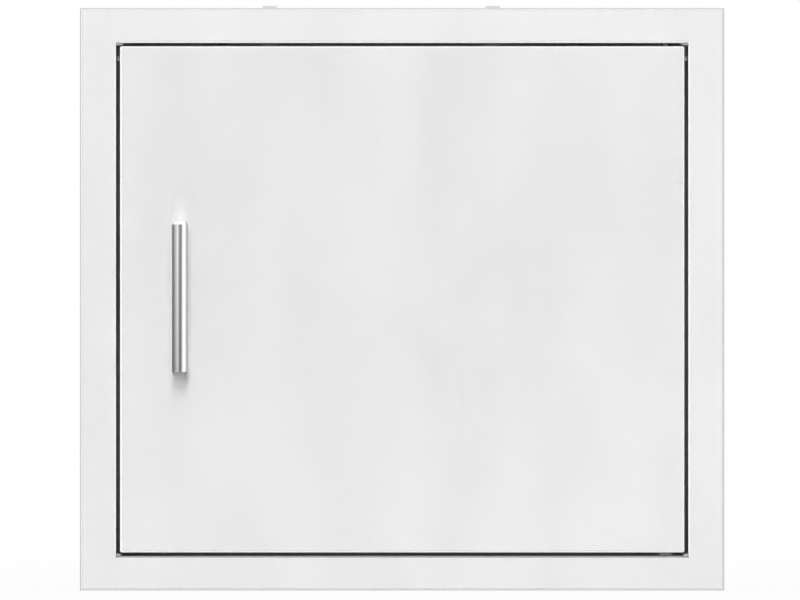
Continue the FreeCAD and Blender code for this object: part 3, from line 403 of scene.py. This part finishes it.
frameLook = {
    "grainLength": 60, "grainPitch": 0.3,        # the real lines are 0.1 mm apart, too fine to show
    "dark": "#eaeaea", "light": "#f0f0f0",
    # painted highlight colour for the bends, and where it starts and where it is full
    "bendHighlight": "#fbfbfb", "bends": (0.995, 0.9),       # how squarely a bend's faces look to front or back
    # painted shade on the faces that look up, and the rim's share that is spared from it
    "risingShade": "#a8a8a8", "wiped": 0.9,
    # place from left to right and from bottom to top in millimetres, and how much painted light or shade
    # lightens or darkens the sheet there
    "across": [(-267, 0.97), (-237, 0.97), (-200, 0.99), (200, 0.99), (237, 1.0), (267, 1.0)],
    "upwards": [(-242, 1.0), (242, 0.99)],
    # painted shade: the rim's darker colour stands in for the darker reflection of the outer bends; from
    # the edge, where it starts and where it is full
    "rim": "#dcdcdc", "rimWidth": (2.6, 1.82), "rimHalves": (266.7, 241.3), "boxHalves": (237.3, 212.9),
    "cloudSize": (70, 300, 160), "cloudShare": 0.5, "cloud": "#e6e6e7",
    # painted shade inside the box: its colour, where it starts and ends from front to back, and the height
    # above which it lies
    "dull": "#a4a4a4", "dullFrom": -3.5, "dullTo": 1.0, "dullAbove": -300,
    "roughness": (0.255, 0.265), "dullRoughness": 0.6, "relief": 0.6, "depth": 0.02,
    "anisotropy": 1.0, "stretch": (0.03, 0.05, 1.0),
}
doorLook = {
    **frameLook,
    # painted shade on the door's returns inside the gaps, lighter than the frame's, and a faint painted
    # shade on faces that look up
    "dull": "#c8c8c8", "risingShade": "#f0f0f0",
    "across": [(-234, 0.975), (-60, 0.975), (-18, 1.0), (4, 0.995), (28, 0.97), (80, 0.985), (234, 1.0)],
    "upwards": [(-210, 1.0), (-110, 0.985), (0, 0.955), (210, 0.95)],
    "scratch": {"x": 48.7, "z": -79.2, "half": 42, "width": 0.7, "strength": 0.5, "colour": "#d2d2d2"},
}
linerLook = {
    **frameLook,
    "dark": "#d4d4d4", "light": "#e0e0e0", "bendHighlight": "#e8e8e8", "risingShade": "#f4f4f4", "cloud": "#d0d0d2",
    "dull": "#dadada", "roughness": (0.28, 0.32), "dullRoughness": 0.3, "relief": 0.25,
}
# the header's sheet is drawn rougher, and darker than the frame's as painted shade for the gaps it lies
# behind
headerLook = {
    **frameLook,
    "dark": "#d0d0d0", "light": "#dadada", "roughness": (0.45, 0.5), "dullAbove": 201.7,
}

# grains and patches are width, depth and height in millimetres; roughness is from smooth to coarse
plainLooks = {
    # stainless tube and caps, ground and polished lengthwise: crisp bands with fine upright lines. Painted
    # shade on faces that look partly down, such as the lower end, a painted highlight on faces that look
    # up, and painted shade towards the edges. Its tone goes by how far a face looks up or down, from -1 to
    # 1
    "handle_steel": ("polishedHandleSteel", {
        "grain": (0.35, 0.35, 60), "dark": "#dadada", "light": "#e6e6e6", "patches": (8, 8, 30),
        "patchShare": 0.3, "patch": "#dcdcdd", "sides": "#a2a2a2", "slant": (0.33, 0.7),
        "tilt": [(-1, 1.0), (-0.8, 1.0), (-0.6, 0.3), (-0.35, 0.3), (-0.1, 1.0), (0.15, 1.0), (0.4, 1.25)],
        "roughness": (0.06, 0.1), "relief": 0.08, "depth": 0.01, "metallic": 1.0}),
    # stainless sheet as rolled, No. 2B: smooth, grey and slightly cloudy
    "mill_steel": ("rolledMillSteel", {
        "grain": (12, 1.2, 1.2), "dark": "#c8c8c6", "light": "#dadad8", "patches": (25, 25, 25),
        "patchShare": 0.5, "patch": "#cdccc9", "roughness": (0.3, 0.42), "relief": 0.2, "depth": 0.02,
        "metallic": 1.0}),
    # stainless bar turned on a lathe: fine rings, drawn coarser than the real feed of 0.08 mm
    "turned_steel": ("turnedPinSteel", {
        "grain": (6, 6, 0.25), "dark": "#cbcbcb", "light": "#dfdfdf", "patches": (3, 3, 6),
        "patchShare": 0.3, "patch": "#d2d0cc", "roughness": (0.18, 0.3), "relief": 0.35, "depth": 0.02,
        "metallic": 1.0}),
    # the same turned bar, blackened in a hot oxide bath and oiled: near black with a soft sheen
    "blackened_steel": ("blackOxidePinSteel", {
        "grain": (6, 6, 0.25), "dark": "#545455", "light": "#606062", "patches": (3, 3, 6),
        "patchShare": 0.4, "patch": "#5a5856", "roughness": (0.3, 0.42), "relief": 0.35, "depth": 0.02,
        "metallic": 1.0}),
    # cold-headed stainless screws and washers, tumbled bright
    "fastener_steel": ("tumbledScrewSteel", {
        "grain": (0.5, 0.5, 0.5), "dark": "#d0d0d0", "light": "#e0e0e0", "patches": (2, 2, 2),
        "patchShare": 0.4, "patch": "#d6d5d2", "roughness": (0.2, 0.34), "relief": 0.25, "depth": 0.02,
        "metallic": 1.0}),
    # hard-drawn spring wire: die lines round the coil
    "spring_steel": ("drawnSpringSteel", {
        "grain": (1.5, 1.5, 0.15), "dark": "#b4b4b4", "light": "#cccccc", "patches": (2, 2, 2),
        "patchShare": 0.4, "patch": "#bdbab4", "roughness": (0.25, 0.38), "relief": 0.2, "depth": 0.01,
        "metallic": 1.0}),
    # steel, zinc-plated and clear-passivated: bright, with a bluish and a faint straw tint
    "zinc_steel": ("zincPlatedSteel", {
        "grain": (0.4, 0.4, 0.4), "dark": "#c8ced6", "light": "#dce0e6", "patches": (5, 5, 5),
        "patchShare": 0.5, "patch": "#dad6c6", "roughness": (0.22, 0.34), "relief": 0.2, "depth": 0.01,
        "metallic": 1.0}),
    # welds: stainless, pickled pale after welding, with a trace of the heat's straw and blue
    "weld": ("weldedSteel", {
        "grain": (0.8, 0.8, 0.8), "dark": "#969491", "light": "#cdcac5", "patches": (2.5, 2.5, 2.5),
        "patchShare": 0.6, "patch": "#a5a4a9", "roughness": (0.25, 0.42), "relief": 0.4, "depth": 0.05,
        "metallic": 1.0}),
    # hard ferrite, pressed and sintered: dull grey-black with fine pores
    "ferrite": ("sinteredFerrite", {
        "grain": (0.25, 0.25, 0.25), "dark": "#4c4c4f", "light": "#5e5e61", "patches": (4, 4, 4),
        "patchShare": 0.4, "patch": "#545459", "roughness": (0.55, 0.75), "relief": 0.5, "depth": 0.04,
        "metallic": 0.0}),
    # grey ABS, injection-moulded against a spark-eroded tool: a fine even pebble
    "catch_plastic": ("mouldedCatchAbs", {
        "grain": (0.35, 0.35, 0.35), "dark": "#7e8082", "light": "#8c8e90", "patches": (6, 6, 6),
        "patchShare": 0.4, "patch": "#848688", "roughness": (0.42, 0.58), "relief": 0.5, "depth": 0.03,
        "metallic": 0.0}),
    # black phenolic knob, moulded and tumbled: smoother, with a soft gloss
    "knob_plastic": ("mouldedKnobPhenolic", {
        "grain": (0.6, 0.6, 0.6), "dark": "#2b2b2d", "light": "#353537", "patches": (3, 3, 3),
        "patchShare": 0.4, "patch": "#303032", "roughness": (0.28, 0.4), "relief": 0.2, "depth": 0.02,
        "metallic": 0.0}),
    # grey polyethylene plugs, moulded: waxy and slightly uneven
    "plug_plastic": ("mouldedPlugPolyethylene", {
        "grain": (0.8, 0.8, 0.8), "dark": "#9c9ea0", "light": "#a8aaac", "patches": (6, 6, 6),
        "patchShare": 0.4, "patch": "#a2a3a3", "roughness": (0.45, 0.58), "relief": 0.3, "depth": 0.03,
        "metallic": 0.0}),
    # white acetal blocks, milled from bar: faint cutter lines
    "acetal": ("milledAcetal", {
        "grain": (10, 0.4, 10), "dark": "#dad8d0", "light": "#e6e4dd", "patches": (8, 8, 8),
        "patchShare": 0.3, "patch": "#dddbd2", "roughness": (0.35, 0.48), "relief": 0.35, "depth": 0.02,
        "metallic": 0.0}),
    # dark grey nylon bushes and washer, moulded
    "nylon": ("mouldedNylon", {
        "grain": (0.5, 0.5, 0.5), "dark": "#5c5c5e", "light": "#676768", "patches": (4, 4, 4),
        "patchShare": 0.4, "patch": "#616163", "roughness": (0.4, 0.55), "relief": 0.3, "depth": 0.02,
        "metallic": 0.0}),
    # black EPDM rubber: matt, with a faint pale bloom
    "bumper_rubber": ("mouldedEpdmRubber", {
        "grain": (0.3, 0.3, 0.3), "dark": "#323233", "light": "#3d3d3e", "patches": (2, 2, 2),
        "patchShare": 0.5, "patch": "#434342", "roughness": (0.7, 0.88), "relief": 0.4, "depth": 0.03,
        "metallic": 0.0}),
}
finishes = {slot: grained(name, look) for slot, (name, look) in plainLooks.items()}
finishes["frame_steel"] = brushedSheet("brushedFrameSteel", frameLook)
finishes["door_steel"] = brushedSheet("brushedDoorSteel", doorLook)
finishes["liner_steel"] = brushedSheet("brushedLinerSteel", linerLook)
finishes["header_channel"] = brushedSheet("brushedHeaderSteel", headerLook)
for part in frame["record"]["subparts"]:
    slots = nodes[part["node"]].data.materials
    slots.clear()
    slots.append(finishes.get(part["node"], finishes[part["material_slot"]]))
print("materials ready,", len(finishes), "finishes")


def activate(piece):
    bpy.ops.object.select_all(action="DESELECT")
    piece.select_set(True)
    bpy.context.view_layer.objects.active = piece


def startPiece(kind, name, **settings):
    bpy.ops.object.select_all(action="DESELECT")
    getattr(bpy.ops.mesh, f"primitive_{kind}_add")(**settings)
    piece = bpy.context.object
    piece.name = name
    bpy.ops.object.transform_apply(location=True, rotation=True, scale=True)
    bpy.ops.object.mode_set(mode="EDIT")
    bpy.ops.mesh.select_mode(type="VERT")
    bpy.ops.mesh.select_all(action="SELECT")
    return piece


def pick(piece, parts, wanted):
    # selects the verts, edges or faces in edit mode that pass the test
    bpy.ops.mesh.select_mode(type={"verts": "VERT", "edges": "EDGE", "faces": "FACE"}[parts])
    bpy.ops.mesh.select_all(action="DESELECT")
    mesh = bmesh.from_edit_mesh(piece.data)
    for item in getattr(mesh, parts):
        if wanted(item):
            item.select_set(True)
    mesh.select_flush_mode()
    bmesh.update_edit_mesh(piece.data)


def endEdit():
    bpy.ops.object.mode_set(mode="OBJECT")


def modify(piece, kind, **settings):
    made = piece.modifiers.new(kind.lower(), kind)
    for name, value in settings.items():
        setattr(made, name, value)
    bpy.context.view_layer.objects.active = piece
    bpy.ops.object.modifier_apply(modifier=made.name)


def copiesOf(piece, moves):
    # copies with their own mesh, joined with the first; a move is a shift and a scale about the origin
    made = [piece]
    for shift, scale in moves:
        activate(piece)
        bpy.ops.object.duplicate()
        other = bpy.context.object
        bpy.ops.transform.resize(value=scale, center_override=(0, 0, 0))
        bpy.ops.transform.translate(value=shift)
        bpy.ops.object.transform_apply(location=True, rotation=True, scale=True)
        if scale[0] * scale[1] * scale[2] < 0:
            bpy.ops.object.mode_set(mode="EDIT")
            bpy.ops.mesh.select_all(action="SELECT")
            bpy.ops.mesh.normals_make_consistent(inside=False)
            endEdit()
        made.append(other)
    activate(piece)
    for other in made:
        other.select_set(True)
    bpy.ops.object.join()
    return bpy.context.object


def finishPiece(piece, finish, body, replaced=(), smoothAngle=35):
    activate(piece)
    bpy.ops.object.transform_apply(location=True, rotation=True, scale=True)
    bpy.ops.object.shade_smooth_by_angle(angle=math.radians(smoothAngle))
    piece.data.materials.clear()
    piece.data.materials.append(finishes[finish])
    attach(piece, body)
    if replaced:
        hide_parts(*replaced)
    print("made", piece.name, len(piece.data.polygons), "faces")


def turnProfile(name, profile, centre, steps=48):
    # a profile of (radius, y) corners, drawn one after the other and spun round the Y axis
    def corner(point):
        return Vector((centre[0] + point[0], point[1], centre[1])) * mm

    piece = startPiece("plane", name, size=mm)
    bpy.ops.mesh.merge(type="CENTER")
    bpy.ops.transform.translate(value=corner(profile[0]))
    for before, after in zip(profile, profile[1:]):
        bpy.ops.mesh.extrude_region_move(TRANSFORM_OT_translate={"value": corner(after) - corner(before)})
    bpy.ops.mesh.select_all(action="SELECT")
    bpy.ops.mesh.spin(steps=steps, angle=math.tau, axis=(0, 1, 0),
                      center=(centre[0] * mm, 0, centre[1] * mm))
    bpy.ops.mesh.select_all(action="SELECT")
    bpy.ops.mesh.remove_doubles(threshold=0.001 * mm)
    bpy.ops.mesh.delete_loose()
    bpy.ops.mesh.select_all(action="SELECT")
    bpy.ops.mesh.normals_make_consistent(inside=False)
    endEdit()
    return piece


ripple = {"sides": 16, "swell": 1.1, "endTaper": 0.6}


def rippledBead(name, middle, length, radius, pitch, along="Y"):
    # a weld bead: a rod whose every second ring swells, and whose ends are thinner
    turn = (math.radians(90), 0, 0) if along == "Y" else (0, math.radians(90), 0)
    piece = startPiece("cylinder", name, vertices=ripple["sides"], radius=radius * mm,
                       depth=length * mm, location=Vector(middle) * mm, rotation=turn)
    number = 1 if along == "Y" else 0
    pick(piece, "edges", lambda edge: abs(edge.verts[0].co[number] - edge.verts[1].co[number]) > pitch * mm)
    rings = round(length / pitch) * 2
    bpy.ops.mesh.subdivide(number_cuts=rings - 1)
    start = middle[number] - length / 2
    pick(piece, "verts", lambda vert: round((vert.co[number] / mm - start) / length * rings) % 2 == 1)
    swell = [ripple["swell"]] * 3
    swell[number] = 1.0
    bpy.ops.transform.resize(value=swell, center_override=Vector(middle) * mm)
    pick(piece, "verts", lambda vert: abs(vert.co[number] / mm - middle[number]) > length / 2 - 0.01)
    taper = [ripple["endTaper"]] * 3
    taper[number] = 1.0
    bpy.ops.transform.resize(value=taper, center_override=Vector(middle) * mm)
    endEdit()
    return piece


def cutAway(piece, point, normal):
    # takes away what lies past a plane, and closes the cut
    activate(piece)
    bpy.ops.object.mode_set(mode="EDIT")
    bpy.ops.mesh.select_all(action="SELECT")
    bpy.ops.mesh.bisect(plane_co=Vector(point) * mm, plane_no=normal, use_fill=True, clear_outer=True)
    endEdit()


cornerWelds = {
    "opening": (236.7, 212.3),   # half width and half height between the box walls
    "radius": 2.1,
    "pitch": 1.5,
    "sink": 0.5,                 # how far a bead is let into the walls
    "spread": {"lower": (1.6, 1, 0.85), "upper": (2.8, 1, 0.85)},     # it ran out along the level wall
    "lower": (-2.8, 43.2),       # from front to back
    "upper": (-2.8, 21.2),       # it ends before the header
}


def makeCornerWelds():
    look = cornerWelds
    wide, tall = look["opening"]
    beads = []
    for name, up in (("lower", -1), ("upper", 1)):
        front, back = look[name]
        bead = rippledBead(f"{name}CornerWelds", (wide, (front + back) / 2, up * tall), back - front,
                           look["radius"], look["pitch"])
        bpy.ops.object.mode_set(mode="EDIT")
        bpy.ops.mesh.select_all(action="SELECT")
        bpy.ops.transform.resize(value=look["spread"][name],
                                 center_override=Vector((wide, 0, up * tall)) * mm)
        endEdit()
        cutAway(bead, (wide + look["sink"], 0, 0), (1, 0, 0))
        cutAway(bead, (0, 0, up * (tall + look["sink"])), (0, 0, up))
        beads.append(copiesOf(bead, [((0, 0, 0), (-1, 1, 1))]))
    for bead in beads:
        finishPiece(bead, "weld", "root")


spotWelds = {
    "radius": 2.6, "sides": 20,
    "height": 0.14,
    "rim": 0.55,
    "dish": 0.08,
    "columns": (-21.0, 21.0),    # where the stiffener's brims lie behind the liner
    "rows": [-185 + 46.25 * number for number in range(9)],
    "linerBack": 14.0,
}


def makeSpotWelds():
    # dished marks of the electrodes, where the liner is spot-welded to the stiffener
    look = spotWelds
    mark = startPiece("cylinder", "linerSpotWelds", vertices=look["sides"],
                      radius=look["radius"] * mm, depth=2 * look["height"] * mm,
                      rotation=(math.radians(90), 0, 0),
                      location=Vector((look["columns"][0], look["linerBack"], look["rows"][0])) * mm)
    pick(mark, "faces", lambda face: face.normal.y > 0.9)
    bpy.ops.mesh.inset(thickness=look["rim"] * mm)
    bpy.ops.mesh.inset(thickness=look["rim"] * mm, depth=-look["dish"] * mm)
    endEdit()
    first = (look["columns"][0], look["rows"][0])
    moves = []
    for column in look["columns"]:
        for row in look["rows"]:
            if (column, row) != first:
                moves.append((Vector((column - first[0], 0, row - first[1])) * mm, (1, 1, 1)))
    finishPiece(copiesOf(mark, moves), "weld", "door")


seamTacks = {
    "length": 9.0,
    "radius": 0.72,
    "pitch": 1.0,
    "seam": (233.15, 209.05),    # half width and half height of the seam between skin and liner
    "back": 14.0,
    "levels": (-192.0, -96.0, 0.0, 96.0, 192.0),     # along the top and bottom edges
    "heights": (-150.0, -60.0, 60.0, 150.0),         # along the two sides
}


def makeSeamTacks():
    look = seamTacks
    wide, tall = look["seam"]
    first = look["levels"][0]
    flat = rippledBead("levelSeamTacks", (first, look["back"], tall), look["length"], look["radius"],
                       look["pitch"], along="X")
    moves = []
    for up in (1, -1):
        for place in look["levels"]:
            if (up, place) != (1, first):
                moves.append((Vector((place - first, 0, (up - 1) * tall)) * mm, (1, 1, 1)))
    finishPiece(copiesOf(flat, moves), "weld", "door")
    upright = rippledBead("uprightSeamTacks", (0, look["back"], 0), look["length"], look["radius"],
                          look["pitch"], along="X")
    upright.rotation_euler = (0, math.radians(90), 0)
    first = look["heights"][0]
    upright.location = Vector((wide, 0, first)) * mm
    activate(upright)
    bpy.ops.object.transform_apply(location=True, rotation=True, scale=True)
    moves = []
    for right in (1, -1):
        for place in look["heights"]:
            if (right, place) != (1, first):
                moves.append((Vector(((right - 1) * wide, 0, place - first)) * mm, (1, 1, 1)))
    finishPiece(copiesOf(upright, moves), "weld", "door")


knob = {
    "centre": (217.9, 169.6), "front": 17.0, "back": 27.0, "radius": 5.0,
    "segments": 48, "flute": 4,          # a flute in every fourth facet
    "fluteDepth": 0.84,
    "shoulder": 0.9,
    "steps": [(0.6, 0.9), (0.4, 0.72)],  # shares of the shoulder, and how much narrower each one ends
    "inset": 0.8, "bevel": 0.18, "sharp": 40,
}


def makeKnob():
    look = knob
    x, z = look["centre"]
    length = look["back"] - look["front"]
    middle = Vector((x, (look["front"] + look["back"]) / 2, z)) * mm
    piece = startPiece("cylinder", "lever_knob_fluted", vertices=look["segments"],
                       radius=look["radius"] * mm, depth=(length - 2 * look["shoulder"]) * mm,
                       rotation=(math.radians(90), 0, 0), location=middle)

    def inFlute(vert):
        away = vert.co - middle
        facet = round(math.degrees(math.atan2(away.z, away.x)) / 360 * look["segments"])
        return facet % look["flute"] == 0

    pick(piece, "verts", inFlute)
    bpy.ops.transform.resize(value=(look["fluteDepth"], 1, look["fluteDepth"]), center_override=middle)
    for side in (-1, 1):
        pick(piece, "faces", lambda face: face.normal.y * side > 0.9)
        for share, narrower in look["steps"]:
            out = side * look["shoulder"] * share * mm
            bpy.ops.mesh.extrude_region_move(TRANSFORM_OT_translate={"value": (0, out, 0)})
            bpy.ops.transform.resize(value=(narrower, 1, narrower), center_override=middle)
        bpy.ops.mesh.inset(thickness=look["inset"] * mm)
    endEdit()
    modify(piece, "BEVEL", width=look["bevel"] * mm, segments=2, limit_method="ANGLE",
           angle_limit=math.radians(look["sharp"]))
    finishPiece(piece, "knob_plastic", "release_pin", ["lever_knob"])


spring = {
    "radius": 4.2, "wireRadius": 0.4, "sides": 10, "stepsATurn": 24,
    # how high the wire has risen after so many turns: the end turns lie close
    "rise": [(0, 0), (1, 0.8), (1.4, 1.5), (5.6, 13.3), (6, 14.0), (7, 14.8)],
    "travel": 7.0,           # how far the pin presses it together
}


def makeSpring():
    # wire wound evenly first; then each step of it is lifted to its own height
    look = spring
    lowest, highest = ([place / mm for place in corner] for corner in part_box("pin_spring"))
    middle = [(low + high) / 2 for low, high in zip(lowest, highest)]
    turns = look["rise"][-1][0]
    piece = startPiece("circle", "pin_spring_wound", vertices=look["sides"],
                       radius=look["wireRadius"] * mm, location=(look["radius"] * mm, 0, 0),
                       rotation=(math.radians(90), 0, 0))
    endEdit()
    modify(piece, "SCREW", axis="Z", angle=math.tau, screw_offset=mm, iterations=turns,
           steps=look["stepsATurn"], render_steps=look["stepsATurn"])
    bpy.ops.object.mode_set(mode="EDIT")
    for step in range(turns * look["stepsATurn"] + 1):
        turned = step / look["stepsATurn"]
        start, end = next(pair for pair in zip(look["rise"], look["rise"][1:]) if turned <= pair[1][0])
        rise = start[1] + (end[1] - start[1]) * (turned - start[0]) / (end[0] - start[0])
        pick(piece, "verts", lambda vert: vert.index // look["sides"] == step)
        bpy.ops.transform.translate(value=(0, 0, (rise - turned) * mm))
        if turned in (0, turns):
            bpy.ops.mesh.edge_face_add()
    bpy.ops.mesh.select_all(action="SELECT")
    foot = Vector((middle[0], middle[1], lowest[2] + look["wireRadius"]))
    bpy.ops.transform.translate(value=foot * mm)
    bpy.ops.mesh.normals_make_consistent(inside=False)
    endEdit()
    finishPiece(piece, "spring_steel", "door", ["pin_spring"], smoothAngle=50)
    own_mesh(piece)


bumper = {
    "x": 150.0, "z": 205.7,
    # radius and y, from the nose to the barb behind the header's lip
    "profile": [
        (0, 14.3), (2.2, 14.35), (3.1, 14.7), (3.6, 15.5), (3.8, 16.6), (3.8, 18.2), (3.35, 18.6),
        (3.35, 19.2), (3.8, 19.6), (3.8, 21.2), (3.35, 21.6), (3.35, 22.1), (3.8, 22.5), (3.8, 23.3),
        (2.45, 23.38), (2.45, 24.6), (3.2, 24.75), (2.9, 25.6), (1.5, 26.6), (0, 26.6),
    ],
}


def makeBumpers():
    first = turnProfile("door_bumpers_ribbed", bumper["profile"], (bumper["x"], bumper["z"]))
    both = copiesOf(first, [((-2 * bumper["x"] * mm, 0, 0), (1, 1, 1))])
    finishPiece(both, "bumper_rubber", "root", ["door_bumpers"], smoothAngle=50)


plug = {
    "x": -183.7, "middle": 1.0, "apart": 96.0,       # one above and one below the handle's middle
    # radius and y, from the snap skirt to the domed cap with its shallow well
    "profile": [
        (6.8, 10.0), (7.5, 10.0), (8.0, 11.2), (7.85, 12.9), (7.85, 14.0), (9.4, 14.0), (9.5, 14.25),
        (9.2, 14.7), (8.2, 15.05), (6.6, 15.18), (5.9, 15.1), (5.5, 14.85), (2.0, 14.75), (0, 14.75),
        (0, 13.9), (6.6, 13.9), (6.8, 13.7), (6.8, 10.0),
    ],
}


def makePlugs():
    upper = (plug["x"], plug["middle"] + plug["apart"] / 2)
    first = turnProfile("liner_plugs_domed", plug["profile"], upper, steps=64)
    both = copiesOf(first, [((0, 0, -plug["apart"] * mm), (1, 1, 1))])
    finishPiece(both, "plug_plastic", "door", ["liner_plugs"], smoothAngle=40)


catchRibs = {
    "face": -218.7, "height": 0.7, "sink": 0.4, "width": 1.2, "from": 19.3, "to": 34.3,
    "rows": (-10.5, -6.3, -2.1, 2.1, 6.3, 10.5), "crest": (1, 0.94, 0.6), "bevel": 0.15,
}


def makeCatchRibs():
    # the housing's open side is ribbed where the fingers hold it
    look = catchRibs
    first = look["rows"][0]
    deep = (look["from"] + look["to"]) / 2
    out = look["face"] + (look["height"] - look["sink"]) / 2
    rib = startPiece("cube", "catch_housing_ribs", size=mm,
                     scale=(look["height"] + look["sink"], look["to"] - look["from"], look["width"]),
                     location=Vector((out, deep, first)) * mm)
    pick(rib, "faces", lambda face: face.normal.x > 0.9)
    bpy.ops.transform.resize(value=look["crest"], center_override=Vector((look["face"], deep, first)) * mm)
    endEdit()
    modify(rib, "BEVEL", width=look["bevel"] * mm, segments=2, limit_method="ANGLE")
    moves = [(Vector((0, 0, row - first)) * mm, (1, 1, 1)) for row in look["rows"][1:]]
    finishPiece(copiesOf(rib, moves), "catch_plastic", "root")


postWelds = {
    "barX": -183.7, "barY": -39.0, "barRadius": 7.15, "postRadius": 6.0,
    "middle": 1.0, "apart": 96.0, "thickness": 0.75, "segments": 32, "sides": 10,
}


def makePostWelds():
    # a thin fillet runs round each post where it meets the bar
    look = postWelds
    centre = Vector((look["barX"], look["barY"], look["middle"] + look["apart"] / 2)) * mm
    steps = look["segments"]
    ring = startPiece("torus", "handle_post_welds", major_segments=steps, minor_segments=look["sides"],
                      major_radius=look["postRadius"] * mm, minor_radius=look["thickness"] * mm,
                      location=centre, rotation=(math.radians(90), 0, 0))
    for number in range(steps):
        def isHere(vert):
            away = vert.co - centre
            return round(math.atan2(away.z, away.x) / math.tau * steps) % steps == number
        pick(ring, "verts", isHere)
        aside = look["postRadius"] * math.cos(math.tau * number / steps)
        rise = math.sqrt(look["barRadius"] ** 2 - aside ** 2)
        bpy.ops.transform.translate(value=(0, rise * mm, 0))
    endEdit()
    both = copiesOf(ring, [((0, 0, -look["apart"] * mm), (1, 1, 1))])
    finishPiece(both, "handle_steel", "door", smoothAngle=60)


makeCornerWelds()
makeSpotWelds()
makeSeamTacks()
makeKnob()
makeSpring()
makeBumpers()
makePlugs()
makeCatchRibs()
makePostWelds()
